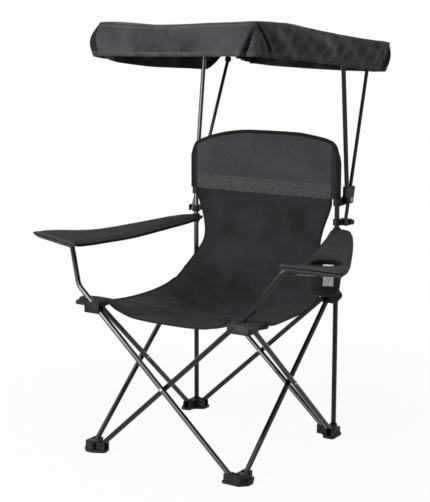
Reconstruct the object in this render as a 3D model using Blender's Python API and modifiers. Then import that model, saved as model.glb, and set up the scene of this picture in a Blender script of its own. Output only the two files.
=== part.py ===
"""A folding camping chair with a canopy, as separate named pieces.

Metres, +Z up. The sitter faces -Y, so the sitter's left is +X. The pieces are laid out from
a working origin, and at the end all of them move together, so that the origin is on the
floor under the middle of the whole chair's box. Four crossed tube pairs stand on four
corners of a square: each pair has one tube on the outer side of its plane and one on the
inner side, and the same hand goes round all four sides.
"""
import math

import bmesh
import bpy
from mathutils import Matrix, Vector

# Foot square and crossed tubes
half_square = 0.275        # from the chair's middle to each plane of crossed tubes
square_y = 0.008           # where the middle of the square lies from the working origin
pin_inset = 0.036          # from a corner of the square to a tube's pin
foot_pin_z = 0.023
top_pin_z = 0.4545
tube_r = 0.008
tube_wall = 0.001
tube_overrun = 0.012       # tube left beyond its end pin
stack_gap = 0.001          # between the two tubes of a crossing
rivet_r = 0.003
rivet_head_r = 0.0058
rivet_head_h = 0.0018
pin_clearance = 0.0003     # round every pin and under every rivet head
overrun = 0.004            # how far a cutter passes the faces that it cuts
weld = 0.00001             # points closer than this are one
tube_sides = 12
rivet_sides = 10
ring_sides = 16

# Plastic corner mouldings
slot_clearance = 0.0005    # each side of a tube in its slot
cheek = 0.0045             # wall beside a slot
cheek_reach = 0.014        # how far a cheek goes past its pin
corner_wall = 0.020        # from the corner to the blind end of a slot
arm_slot_start = 0.006     # the same, where an arm tube passes through
moulding_half_h = 0.014    # height of a bracket above and below its pins
foot_top_z = 0.036
pad_thick = 0.008
pad_rim = 0.0045           # how far the pad stands out past the cheeks
pad_margin = 0.0011        # and past the upright's boss
pad_round = 0.006
boss_wall = 0.0035
boss_lift = 0.0018         # how far the boss stands above its moulding

# Uprights and what is clamped on them
upright_in = 0.008         # upright's axis from the corner, towards the middle
upright_out = 0.013        # upright's axis from the corner, out of its plane
upright_clearance = 0.0004
ring_wall = 0.0042         # of the clamp and the catch, round the upright

# Canopy clamp, hub and pivot bolt
pivot_z = 0.757
pivot_back = 0.0385        # pivot behind the upright's axis
pole_plane_out = 0.0195    # the poles' plane outside the upright's axis
clamp_below = 0.0185       # clamp's lower and upper face from the pivot
clamp_above = 0.0045
ear_gap = 0.0004           # between the hub and the clamp's ear
ear_thick = 0.0055
ear_r = 0.0125
ear_start = 0.004          # ear's root behind the upright's axis
bolt_head_r = 0.0075
bolt_head_h = 0.0034
hub_wall = 0.003
hub_half = 0.0095
hub_up = 0.041
hub_down = 0.0125
hub_shoulder = 0.008
hub_round = 0.004

# Canopy poles and side rails
front_pole_r = 0.0072
rear_pole_r = 0.0058
pole_wall = 0.0009
front_socket_ahead = 0.011     # lower end of the front pole ahead of the pivot
front_socket_up = 0.015        # and above it
front_top_back = 0.0005        # upper ends of the poles behind the pivot
rear_top_back = 0.1735
front_top_in = 0.006           # upper ends inside and outside the rail's line
rear_top_out = 0.002
top_below_rail = 0.0095
rail_r = 0.0052
rail_inset = 0.015             # rail inside the canopy's side
rail_gap = 0.0004
rail_from_front = 0.028
rail_from_rear = 0.030
socket_wall = 0.0025
socket_depth = 0.018

# Catch for the rear pole's lower end, and its knob
catch_drop = 0.070             # catch below the pivot
catch_half_h = 0.0095
catch_clearance = 0.0005
catch_outer_wall = 0.0042
tail_show = 0.0005             # pole left below the catch
knob_back = 0.0163             # knob behind the pole's axis
knob_edge = 0.007              # catch left behind the knob's axis
knob_r = 0.0085
knob_h = 0.0095
knob_round = 0.0015
knob_shank = 0.020

# Arm tubes, above the front brackets
arm_first_bend = 0.095         # from the bracket's pin to the first bend
arm_out = 0.141                # from the bracket's pin out to the second bend
arm_z = 0.628
arm_set_back = 0.047           # level part behind the front plane
arm_level_left = 0.165         # length and rise of the level part
arm_level_right = 0.130
arm_rise_left = 0.0080
arm_rise_right = 0.0175
arm_bend_r = 0.060
arm_tip_bend_r = 0.024

# Canopy cloth
canopy_t = 0.0030
canopy_half_w = 0.2770
canopy_front_y = -0.2040
canopy_rear_y = 0.6300
canopy_front_z = 1.3112
canopy_rear_z = 1.2362
canopy_edge_drop = 0.004
front_drop = 0.100
side_drop = 0.094
rear_drop = 0.088
canopy_corner = 0.034
canopy_sag = 0.008
canopy_flare = 0.003
canopy_column_shares = (-1, -0.970, -0.877, -0.50, 0, 0.50, 0.877, 0.970, 1)
canopy_row_shares = (0, 0.017, 0.041, 0.16, 0.32, 0.50, 0.68, 0.84, 0.959, 0.983, 1)
sag_span_shares = (0.15, 0.85)     # which part of a half wave the sag follows

# Sling
sling_t = 0.0035
sling_front_gap = 0.0015       # front edge behind the front tubes
corner_gap = 0.0009            # corners above the front brackets
seat_sag = 0.0772              # lowest point of the seat below its corners
ring_gap = 0.0009              # back's strip inside the clamps
strip_gap = 0.0004             # strip's top above the clamps
panel_gap = 0.0025             # head panel above the clamps
panel_clearance = 0.00075      # head panel ahead of the uprights
panel_side = 0.0095            # head panel outside the uprights' axes
panel_rise = 0.198
pocket_wall = 0.0030
pocket_cap = 0.0050
pocket_depth_share = 0.596     # how far up the panel the uprights reach
# Rows from the front edge up to the strip under the head panel. Depth goes from the front
# edge to the back's plane. Height is down to the lowest point where it is negative, and up to
# the strip's top where it is positive. Width is a share of the strip's.
sling_row_shares = [
    # middle depth, middle height, width, edge depth, edge height
    (0.000, -0.521, 1.302, 0.000, 0.000),
    (0.058, -0.611, 1.286, 0.062, 0.000),
    (0.120, -0.702, 1.247, 0.120, -0.171),
    (0.223, -0.819, 1.191, 0.223, -0.326),
    (0.354, -0.922, 1.148, 0.354, -0.404),
    (0.503, -1.000, 1.128, 0.503, -0.430),
    (0.634, -1.000, 1.116, 0.625, -0.391),
    (0.728, -0.883, 1.101, 0.718, -0.288),
    (0.803, -0.598, 1.073, 0.793, -0.106),
    (0.853, -0.210, 1.034, 0.853, 0.054),
    (0.900, 0.082, 0.986, 0.900, 0.161),
    (0.934, 0.219, 0.939, 0.934, 0.264),
    (0.957, 0.374, 0.864, 0.957, 0.391),
    (0.971, 0.512, 0.842, 0.971, 0.512),
    (0.983, 0.667, 0.882, 0.983, 0.667),
    (0.994, 0.821, 0.957, 0.994, 0.821),
    (0.999, 0.925, 1.000, 0.999, 0.925),
    (1.000, 1.000, 1.000, 1.000, 1.000),
]
sling_column_shares = (0, 0.22, 0.42, 0.58, 0.68, 0.84, 1)
front_lift_shares = (0, 0.02, 0.15, 0.55, 1, 1, 1)
seat_lift_shares = (0, 0.05, 0.18, 0.36, 0.50, 0.76, 1)
lift_rows = (1, 4)             # the edge's shape changes between these rows
panel_row_shares = (0, 0.25, 0.50, 0.75, 0.90, 1)
panel_arch_shares = (1, 0.985, 0.939, 0.881, 0.836, 0.732, 0.545)

# Armrests
arm_pad_t = 0.0090
arm_pad_front = 0.002          # pad's front edge ahead of the arm tube's axis
arm_inner = 0.020              # its inner corner outside the tube's second bend
arm_outer_left = 0.038         # its outer corner outside the tube's tip
arm_outer_right = 0.032
arm_rear = 0.011               # its rear edge ahead of the upright's axis
arm_rear_in = 0.014            # and that edge's ends from the upright's axis
arm_rear_out = 0.033
arm_level_z_left = 0.6340
arm_level_z_right = 0.6405
arm_rear_z = 0.6560
# Rows from front to rear: how far back, how far its two edges have come in, and its rise
arm_row_shares = [
    (0.0000, 0.000, 0.000, 0.000), (0.0256, 0.048, 0.014, 0.000),
    (0.1716, 0.177, 0.163, 0.000), (0.2801, 0.224, 0.272, 0.000),
    (0.3886, 0.340, 0.378, 0.000), (0.5562, 0.524, 0.555, 0.227),
    (0.7140, 0.694, 0.714, 0.500), (0.8718, 0.864, 0.869, 0.818),
    (1.0000, 1.000, 1.000, 1.000),
]
arm_front_rows = 2             # rows that follow the tube's height
arm_column_shares = (0, 0.25, 0.5, 0.75, 1)
arm_roll_r = 0.0114
arm_roll_inner = 0.024         # roll's inner end outside the second bend
arm_roll_past_tip = 0.030
loop_half_h = 0.013
loop_wall = 0.0028
sleeve_clearance = 0.0004

# Cup holder
cup_out = 0.057                # its middle outside the arm tube's second bend
cup_back = 0.140               # and behind the tube's level part
cup_hole_r = 0.0500
cup_gap = 0.0012
cup_depth = 0.1000
cup_foot_r = 0.0400
cup_bottom_round = 0.0140
cup_t = 0.0022
cup_lip = 0.0050
cup_sides = 24

# Values that follow from the ones above
tube_half_gap = tube_r + stack_gap / 2
pin_half = half_square - pin_inset
pin_rise = top_pin_z - foot_pin_z
fold_angle = math.atan2(pin_rise, 2 * pin_half)
slot_half = tube_r + slot_clearance
outer_face = tube_half_gap + slot_half + cheek     # of a moulding's leg, from its plane
inner_face = slot_half + cheek - tube_half_gap
front_y = square_y - half_square
rear_y = square_y + half_square
pin_hole_r = rivet_r + pin_clearance
bracket_low = top_pin_z - moulding_half_h
bracket_high = top_pin_z + moulding_half_h

upright_x = half_square - upright_in
upright_y = rear_y + upright_out
boss_r = tube_r + upright_clearance + boss_wall
ring_r = tube_r + upright_clearance + ring_wall
leg_reach = pin_inset + cheek_reach
pad_leg = leg_reach + pad_rim
pad_side = upright_out + boss_r + pad_margin
# The pad under each foot, as distances along its outer and inner tube
pad_outline = [(pad_leg, -pad_side), (pad_leg, inner_face + pad_rim),
               (outer_face + pad_rim, outer_face + pad_rim), (inner_face + pad_rim, pad_leg),
               (-inner_face - pad_rim, pad_leg), (-pad_side, upright_in + boss_r),
               (-pad_side, -inner_face), (-inner_face, -pad_side)]

pivot_y = upright_y + pivot_back
pole_plane_x = upright_x + pole_plane_out
clamp_low, clamp_high = pivot_z - clamp_below, pivot_z + clamp_above
canopy_slope = (canopy_rear_z - canopy_front_z) / (canopy_rear_y - canopy_front_y)
rail_x = canopy_half_w - rail_inset
rail_front_y = canopy_front_y + rail_from_front
rail_rear_y = canopy_rear_y - rail_from_rear


def rail_z(y):
    """Height of a side rail's axis, just under the cloth."""
    return canopy_front_z + canopy_slope * (y - canopy_front_y) - canopy_t - rail_r - rail_gap


front_top_y = pivot_y + front_top_back
rear_top_y = pivot_y + rear_top_back
front_pole_top = (rail_x - front_top_in, front_top_y, rail_z(front_top_y) - top_below_rail)
rear_pole_top = (rail_x + rear_top_out, rear_top_y, rail_z(rear_top_y) - top_below_rail)
socket_cap = top_below_rail + rail_r / 4
rear_lean = rear_top_back / (rear_pole_top[2] - pivot_z)
rear_reach = rear_pole_r + pin_clearance + hub_wall
hub_front = -(front_socket_ahead + front_pole_r + pin_clearance + hub_wall)
hub_rear = rear_lean * hub_up + rear_reach
# The hub and the clamp's ear, as y and z from the pivot
hub_outline = [(-rear_lean * hub_down - rear_reach, -hub_down), (hub_down, -hub_down),
               (hub_rear, hub_up - hub_shoulder), (hub_rear, hub_up), (hub_front, hub_up),
               (hub_front, front_socket_up - pin_clearance - hub_wall)]
ear_root = ear_start - pivot_back
ear_outline = [(ear_root, -clamp_below), (0, -clamp_below), (ear_r, -ear_r / 2),
               (ear_r, ear_r / 2), (ear_r / 2, ear_r), (-ear_r / 2, ear_r),
               (-2 * ear_r, clamp_above), (ear_root, clamp_above)]
catch_z = pivot_z - catch_drop
catch_low, catch_high = catch_z - catch_half_h, catch_z + catch_half_h
catch_slot_half = rear_pole_r + catch_clearance

seat_front_y = front_y + tube_half_gap + tube_r + sling_front_gap
seat_corner_z = bracket_high + sling_t / 2 + corner_gap
panel_y = upright_y - tube_r - panel_clearance - sling_t / 2
panel_half_w = upright_x + panel_side
strip_half_w = upright_x - ring_r - ring_gap
strip_top_z = clamp_high + strip_gap
panel_low_z = clamp_high + panel_gap
upright_top = panel_low_z + panel_rise * pocket_depth_share

arm_second_x = pin_half + arm_out
arm_y = front_y + arm_set_back

for old in list(bpy.data.objects):
    bpy.data.objects.remove(old, do_unlink=True)

parts = bpy.data.collections.new("canopy_camping_chair")
cutters = bpy.data.collections.new("cutters")
bpy.context.scene.collection.children.link(parts)
bpy.context.scene.collection.children.link(cutters)


def make_material(name, colour, roughness, metallic):
    """A Principled material with one colour."""
    material = bpy.data.materials.new(name)
    material.use_nodes = True
    shader = material.node_tree.nodes["Principled BSDF"]
    shader.inputs["Base Color"].default_value = (*colour, 1.0)
    shader.inputs["Roughness"].default_value = roughness
    shader.inputs["Metallic"].default_value = metallic
    material.diffuse_color = (*colour, 1.0)
    return material


tube_paint = make_material("black_tube_paint", (0.012, 0.012, 0.013), 0.25, 0.0)
black_plastic = make_material("black_plastic", (0.015, 0.015, 0.016), 0.45, 0.0)
rivet_steel = make_material("rivet_steel", (0.42, 0.42, 0.43), 0.35, 1.0)
dark_cloth = make_material("dark_cloth", (0.028, 0.030, 0.034), 0.85, 0.0)
canopy_cloth_finish = make_material("canopy_cloth_grey", (0.055, 0.056, 0.060), 0.80, 0.0)
mesh_cloth = make_material("black_mesh", (0.012, 0.012, 0.013), 0.80, 0.0)


sharp_angle = math.radians(40)


def place(name, bm, pivot=(0, 0, 0), collection=parts, finish=black_plastic, smooth=True):
    """Makes an object from a bmesh in world sizes, with its origin at the pivot."""
    bmesh.ops.translate(bm, verts=bm.verts, vec=-Vector(pivot))
    mesh = bpy.data.meshes.new(name)
    bm.to_mesh(mesh)
    bm.free()
    if smooth:
        mesh.shade_smooth()
        mesh.set_sharp_from_angle(angle=sharp_angle)
    made = bpy.data.objects.new(name, mesh)
    made.location = pivot
    made.data.materials.append(finish)
    collection.objects.link(made)
    return made


def as_cutter(bm, name):
    """Makes a hidden cutter from a bmesh."""
    made = place(name, bm, collection=cutters, smooth=False)
    made.hide_render = True
    made.display_type = "WIRE"
    return made


def combine(target, other, operation):
    """Adds an exact Boolean to the target."""
    step = target.modifiers.new(operation.lower(), "BOOLEAN")
    step.operation = operation
    step.solver = "EXACT"
    step.object = other


def add_cylinder(bm, start, end, radius, sides=tube_sides, end_radius=None):
    """Adds a closed cylinder or cone between two points."""
    start, end = Vector(start), Vector(end)
    along = end - start
    turn = Vector((0, 0, 1)).rotation_difference(along).to_matrix().to_4x4()
    spot = Matrix.Translation((start + end) / 2) @ turn
    bmesh.ops.create_cone(bm, cap_ends=True, segments=sides, radius1=radius,
                          radius2=radius if end_radius is None else end_radius,
                          depth=along.length, matrix=spot)


def add_box(bm, low, high):
    """Adds a closed box between two corners."""
    low, high = Vector(low), Vector(high)
    corners = [Vector((min(a, b), max(a, b))) for a, b in zip(low, high)]
    size = [c[1] - c[0] for c in corners]
    middle = [(c[0] + c[1]) / 2 for c in corners]
    spot = Matrix.Translation(middle) @ Matrix.Diagonal((*size, 1))
    bmesh.ops.create_cube(bm, size=1, matrix=spot)


def curve_to_bmesh(points, radius, sides, cyclic=False):
    """A tube along points, as a closed bmesh."""
    curve = bpy.data.curves.new("route", "CURVE")
    curve.dimensions = "3D"
    curve.bevel_depth = radius
    curve.bevel_resolution = sides // 4 - 1
    curve.use_fill_caps = True
    spline = curve.splines.new("POLY")
    spline.points.add(len(points) - 1)
    for spot, point in zip(spline.points, points):
        spot.co = (*point, 1)
    spline.use_cyclic_u = cyclic
    holder = bpy.data.objects.new("route", curve)
    bpy.context.scene.collection.objects.link(holder)
    bpy.context.view_layer.update()
    evaluated = holder.evaluated_get(bpy.context.evaluated_depsgraph_get())
    mesh = bpy.data.meshes.new_from_object(evaluated)
    bm = bmesh.new()
    bm.from_mesh(mesh)
    bmesh.ops.remove_doubles(bm, verts=bm.verts, dist=weld)
    bpy.data.objects.remove(holder, do_unlink=True)
    bpy.data.meshes.remove(mesh)
    return bm


def outline_prism(points, low_z, high_z):
    """A flat outline raised to a prism."""
    curve = bpy.data.curves.new("outline", "CURVE")
    curve.dimensions = "2D"
    curve.fill_mode = "BOTH"
    curve.extrude = (high_z - low_z) / 2
    spline = curve.splines.new("POLY")
    spline.points.add(len(points) - 1)
    for spot, point in zip(spline.points, points):
        spot.co = (*point, 0, 1)
    spline.use_cyclic_u = True
    holder = bpy.data.objects.new("outline", curve)
    bpy.context.scene.collection.objects.link(holder)
    bpy.context.view_layer.update()
    evaluated = holder.evaluated_get(bpy.context.evaluated_depsgraph_get())
    mesh = bpy.data.meshes.new_from_object(evaluated)
    bm = bmesh.new()
    bm.from_mesh(mesh)
    bmesh.ops.remove_doubles(bm, verts=bm.verts, dist=weld)
    bmesh.ops.translate(bm, verts=bm.verts, vec=(0, 0, (low_z + high_z) / 2))
    bmesh.ops.recalc_face_normals(bm, faces=bm.faces)
    bpy.data.objects.remove(holder, do_unlink=True)
    bpy.data.meshes.remove(mesh)
    return bm


def corner_arc(corner, before, after, radius, steps):
    """The arc that rounds a corner between two unit directions that leave it."""
    half = before.angle(after) / 2
    middle = corner + (before + after).normalized() * radius / math.sin(half)
    first = corner + before * radius / math.tan(half) - middle
    last = corner + after * radius / math.tan(half) - middle
    swept = math.pi - 2 * half
    arc = []
    for step in range(steps + 1):
        part_way = swept * step / steps
        arc.append(middle + (first * math.sin(swept - part_way) + last * math.sin(part_way))
                   / math.sin(swept))
    return arc


def fillet(points, radius, steps=4):
    """Rounds the corners of a closed outline with arcs."""
    rounded = []
    for i, corner in enumerate(points):
        corner = Vector(corner)
        before = (Vector(points[i - 1]) - corner).normalized()
        after = (Vector(points[(i + 1) % len(points)]) - corner).normalized()
        rounded += corner_arc(corner, before, after, radius, steps)
    return rounded


def bend(route, radius, steps=6):
    """Rounds the inner corners of an open 3D route with arcs."""
    points = [Vector(route[0])]
    for i in range(1, len(route) - 1):
        corner = Vector(route[i])
        before = (Vector(route[i - 1]) - corner).normalized()
        after = (Vector(route[i + 1]) - corner).normalized()
        points += corner_arc(corner, before, after, radius[i - 1], steps)
    points.append(Vector(route[-1]))
    return points


# Corners of the square. Each has a place, the direction u along the tube that lies on the
# outer side of its plane, and the direction v along the tube on the inner side.
def corner_point(corner, u, v, z):
    """A point from a corner, u along its outer tube and v along its inner tube."""
    place_xy, u_way, v_way = corner
    spot = Vector(place_xy) + Vector(u_way) * u + Vector(v_way) * v
    return Vector((spot.x, spot.y, z))


right_front = (-half_square, front_y)
left_front = (half_square, front_y)
left_rear = (half_square, rear_y)
right_rear = (-half_square, rear_y)
plus_x, minus_x, plus_y, minus_y = (1, 0), (-1, 0), (0, 1), (0, -1)

foot_corners = {
    "front_right": (right_front, plus_y, plus_x),
    "front_left": (left_front, minus_x, plus_y),
    "rear_left": (left_rear, minus_y, minus_x),
    "rear_right": (right_rear, plus_x, minus_y),
}
top_corners = {
    "front_right": (right_front, plus_x, plus_y),
    "front_left": (left_front, plus_y, minus_x),
    "rear_left": (left_rear, minus_x, minus_y),
    "rear_right": (right_rear, minus_y, plus_x),
}


def outer_pin(corner, z):
    """Pin of the tube on the outer side of its plane."""
    return corner_point(corner, pin_inset, -tube_half_gap, z)


def inner_pin(corner, z):
    """Pin of the tube on the inner side of its plane."""
    return corner_point(corner, tube_half_gap, pin_inset, z)


def upright_place(side):
    """Foot of an upright's axis. side is 1 at the sitter's left and -1 at the right."""
    return Vector((side * upright_x, upright_y, 0))


def front_socket_place(side):
    """The empty socket of a front foot, which is shaped as a rear foot is."""
    return Vector((side * upright_x, front_y - upright_out, 0))


# Tubes
def tube(name, start, end, radius, wall, finish=tube_paint, pivot=None, holes=()):
    """A straight hollow tube with drilled holes, each a centre, a direction and a radius."""
    start, end = Vector(start), Vector(end)
    along = (end - start).normalized()
    bm = bmesh.new()
    add_cylinder(bm, start, end, radius)
    made = place(name, bm, start if pivot is None else pivot, finish=finish)
    bore = bmesh.new()
    add_cylinder(bore, start - along * overrun, end + along * overrun, radius - wall)
    combine(made, as_cutter(bore, name + "_bore"), "DIFFERENCE")
    drill(made, holes, radius)
    return made


def drill(target, holes, reach):
    """Cuts round holes through a piece."""
    if not holes:
        return
    bits = bmesh.new()
    for centre, way, radius in holes:
        way = Vector(way).normalized() * (reach + overrun)
        add_cylinder(bits, Vector(centre) - way, Vector(centre) + way, radius, rivet_sides)
    combine(target, as_cutter(bits, target.name + "_drill"), "DIFFERENCE")


def crossed_tube(name, low, high, way):
    """One tube of a crossed pair, drilled at both ends and at its middle."""
    low, high = Vector(low), Vector(high)
    along = (high - low).normalized()
    holes = [(spot, way, pin_hole_r) for spot in (low, (low + high) / 2, high)]
    return tube(name, low - along * tube_overrun, high + along * tube_overrun,
                tube_r, tube_wall, pivot=low, holes=holes)


def arm_route(low, high, side):
    """The bent centre line of an arm tube, from its lower end to its tip."""
    low, high = Vector(low), Vector(high)
    along = (high - low).normalized()
    first = high + along * arm_first_bend
    second = Vector((side * arm_second_x, arm_y, arm_z))
    level, rise = (arm_level_left, arm_rise_left) if side > 0 else (arm_level_right, arm_rise_right)
    tip = second + Vector((side * level, 0, rise))
    return bend([low - along * tube_overrun, first, second, tip], (arm_bend_r, arm_tip_bend_r))


def arm_tube(name, low, high, side):
    """A front tube that goes on past its bracket and bends outwards under an armrest."""
    low, high = Vector(low), Vector(high)
    route = arm_route(low, high, side)
    made = place(name, curve_to_bmesh(route, tube_r, tube_sides), low, finish=tube_paint)
    route[0] += (route[0] - route[1]).normalized() * overrun
    route[-1] += (route[-1] - route[-2]).normalized() * overrun
    bore = curve_to_bmesh(route, tube_r - tube_wall, tube_sides)
    combine(made, as_cutter(bore, name + "_bore"), "DIFFERENCE")
    drill(made, [(spot, (0, 1, 0), pin_hole_r) for spot in (low, (low + high) / 2, high)], tube_r)
    return made


for_x, for_y = (1, 0, 0), (0, 1, 0)
foot, top = foot_corners, top_corners
left_arm = (inner_pin(foot["front_right"], foot_pin_z), inner_pin(top["front_left"], top_pin_z), 1)
right_arm = (outer_pin(foot["front_left"], foot_pin_z), outer_pin(top["front_right"], top_pin_z), -1)
arm_tube("arm_tube_left", *left_arm)
arm_tube("arm_tube_right", *right_arm)
crossed_tube("right_tube_inner", inner_pin(foot["rear_right"], foot_pin_z),
             inner_pin(top["front_right"], top_pin_z), for_x)
crossed_tube("right_tube_outer", outer_pin(foot["front_right"], foot_pin_z),
             outer_pin(top["rear_right"], top_pin_z), for_x)
crossed_tube("left_tube_outer", outer_pin(foot["rear_left"], foot_pin_z),
             outer_pin(top["front_left"], top_pin_z), for_x)
crossed_tube("left_tube_inner", inner_pin(foot["front_left"], foot_pin_z),
             inner_pin(top["rear_left"], top_pin_z), for_x)
crossed_tube("rear_tube_outer", outer_pin(foot["rear_right"], foot_pin_z),
             outer_pin(top["rear_left"], top_pin_z), for_y)
crossed_tube("rear_tube_inner", inner_pin(foot["rear_left"], foot_pin_z),
             inner_pin(top["rear_right"], top_pin_z), for_y)

for side, word in ((1, "left"), (-1, "right")):
    foot_of_upright = upright_place(side)
    tube("upright_" + word, foot_of_upright + Vector((0, 0, pad_thick + pin_clearance)),
         foot_of_upright + Vector((0, 0, upright_top)), tube_r, tube_wall)


# Rivets, bolts and knobs: turned pieces
def turned(name, spot, way, profile, finish, sides=rivet_sides):
    """Turns a profile round a line. It runs from the line at the top, down the outside."""
    mesh = bpy.data.meshes.new(name)
    points = [(r, 0, z) for r, z in profile]
    mesh.from_pydata(points, [(i, i + 1) for i in range(len(points) - 1)], [])
    made = bpy.data.objects.new(name, mesh)
    made.location = spot
    made.rotation_mode = "QUATERNION"
    made.rotation_quaternion = Vector((0, 0, 1)).rotation_difference(Vector(way))
    made.data.materials.append(finish)
    parts.objects.link(made)
    step = made.modifiers.new("turning", "SCREW")
    step.axis = "Z"
    step.steps = sides
    step.render_steps = sides
    step.use_merge_vertices = True
    step.merge_threshold = weld
    return made


def rivet(name, first, last, head_r=rivet_head_r, head_h=rivet_head_h, finish=rivet_steel):
    """A rivet whose heads bear on the faces at first and last."""
    first, last = Vector(first), Vector(last)
    half = (last - first).length / 2 + pin_clearance
    crown = head_h / 3
    upper = [(0, half + head_h), (head_r / 2, half + head_h), (head_r, half + crown),
             (head_r, half), (rivet_r, half)]
    profile = upper + [(r, -z) for r, z in reversed(upper)]
    return turned(name, (first + last) / 2, (last - first).normalized(), profile, finish)


cross_reach = tube_half_gap + tube_r
cross_z = (foot_pin_z + top_pin_z) / 2
rivet("front_cross_rivet", (0, front_y - cross_reach, cross_z), (0, front_y + cross_reach, cross_z))
rivet("rear_cross_rivet", (0, rear_y - cross_reach, cross_z), (0, rear_y + cross_reach, cross_z))
for side, word in ((1, "left"), (-1, "right")):
    rivet(word + "_cross_rivet", (side * half_square - cross_reach, square_y, cross_z),
          (side * half_square + cross_reach, square_y, cross_z))


def corner_rivets(name, corner, z):
    """The two rivets of a corner moulding, through the cheeks of its two slots."""
    rivet(name + "_outer_pin", corner_point(corner, pin_inset, -outer_face, z),
          corner_point(corner, pin_inset, inner_face, z))
    rivet(name + "_inner_pin", corner_point(corner, -inner_face, pin_inset, z),
          corner_point(corner, outer_face, pin_inset, z))


for place_word, corner in foot_corners.items():
    corner_rivets("foot_" + place_word, corner, foot_pin_z)
for place_word, corner in top_corners.items():
    corner_rivets("bracket_" + place_word, corner, top_pin_z)


# Corner mouldings: an L of two slotted legs round a corner post
def moulding(name, corner, low_z, high_z, pin_z, slot_floor, starts, boss=None, bore_floor=None):
    """A foot, bracket or slider. starts are the blind ends of the outer and inner slots."""
    outline = [(leg_reach, -outer_face), (leg_reach, inner_face), (outer_face, inner_face),
               (outer_face, leg_reach), (-inner_face, leg_reach), (-inner_face, -outer_face)]
    world = [corner_point(corner, u, v, 0).xy for u, v in outline]
    bm = outline_prism(world, low_z, high_z)
    made = place(name, bm, corner_point(corner, 0, 0, pin_z))
    if boss is not None:
        post = bmesh.new()
        add_cylinder(post, (boss.x, boss.y, low_z), (boss.x, boss.y, high_z + boss_lift),
                     boss_r, ring_sides)
        combine(made, as_cutter(post, name + "_boss"), "UNION")
    if slot_floor > low_z:
        pad = [corner_point(corner, u, v, 0).xy for u, v in pad_outline]
        base = outline_prism(fillet(pad, pad_round), low_z, slot_floor)
        combine(made, as_cutter(base, name + "_pad"), "UNION")
    slots = bmesh.new()
    far = leg_reach + pad_rim + overrun
    floor = slot_floor if slot_floor > low_z else low_z - overrun
    ceiling = high_z + overrun
    add_box(slots, corner_point(corner, starts[0], -tube_half_gap - slot_half, floor),
            corner_point(corner, far, -tube_half_gap + slot_half, ceiling))
    add_box(slots, corner_point(corner, tube_half_gap - slot_half, starts[1], floor),
            corner_point(corner, tube_half_gap + slot_half, far, ceiling))
    combine(made, as_cutter(slots, name + "_slots"), "DIFFERENCE")
    u_way = Vector((*corner[1], 0))
    v_way = Vector((*corner[2], 0))
    drill(made, [(corner_point(corner, pin_inset, -tube_half_gap, pin_z), v_way, pin_hole_r),
                 (corner_point(corner, tube_half_gap, pin_inset, pin_z), u_way, pin_hole_r)],
          outer_face)
    if boss is not None:
        bore = bmesh.new()
        bottom = bore_floor if bore_floor is not None else low_z - overrun
        add_cylinder(bore, (boss.x, boss.y, bottom), (boss.x, boss.y, high_z + boss_lift + overrun),
                     tube_r + upright_clearance, ring_sides)
        combine(made, as_cutter(bore, name + "_upright_bore"), "DIFFERENCE")
    return made


closed_starts = (corner_wall, corner_wall)
for place_word, corner in foot_corners.items():
    side = 1 if place_word.endswith("left") else -1
    boss = upright_place(side) if place_word.startswith("rear") else front_socket_place(side)
    moulding("foot_" + place_word, corner, 0, foot_top_z, foot_pin_z, pad_thick,
             closed_starts, boss, pad_thick)
moulding("front_bracket_right", top_corners["front_right"], bracket_low, bracket_high,
         top_pin_z, bracket_low, (arm_slot_start, corner_wall))
moulding("front_bracket_left", top_corners["front_left"], bracket_low, bracket_high,
         top_pin_z, bracket_low, (corner_wall, arm_slot_start))
for side, word in ((1, "left"), (-1, "right")):
    moulding("rear_slider_" + word, top_corners["rear_" + word], bracket_low, bracket_high,
             top_pin_z, bracket_low, closed_starts, upright_place(side))


# Canopy hardware
def side_prism(points, low_x, high_x):
    """An outline of y and z values raised along x."""
    bm = outline_prism(points, min(low_x, high_x), max(low_x, high_x))
    turn = Matrix(((0, 0, 1, 0), (1, 0, 0, 0), (0, 1, 0, 0), (0, 0, 0, 1)))
    bmesh.ops.transform(bm, matrix=turn, verts=bm.verts)
    return bm


def cut_upright_bore(target, side, low_z, high_z, clearance=upright_clearance):
    """Bores a piece for the upright that it holds."""
    axis = upright_place(side)
    bore = bmesh.new()
    add_cylinder(bore, (axis.x, axis.y, low_z), (axis.x, axis.y, high_z), tube_r + clearance, ring_sides)
    combine(target, as_cutter(bore, target.name + "_upright_bore"), "DIFFERENCE")


def ring_round_upright(side, low_z, high_z, wall, clearance=upright_clearance):
    """A solid round block where a ring goes."""
    axis = upright_place(side)
    bm = bmesh.new()
    add_cylinder(bm, (axis.x, axis.y, low_z), (axis.x, axis.y, high_z),
                 tube_r + clearance + wall, ring_sides)
    return bm


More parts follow.
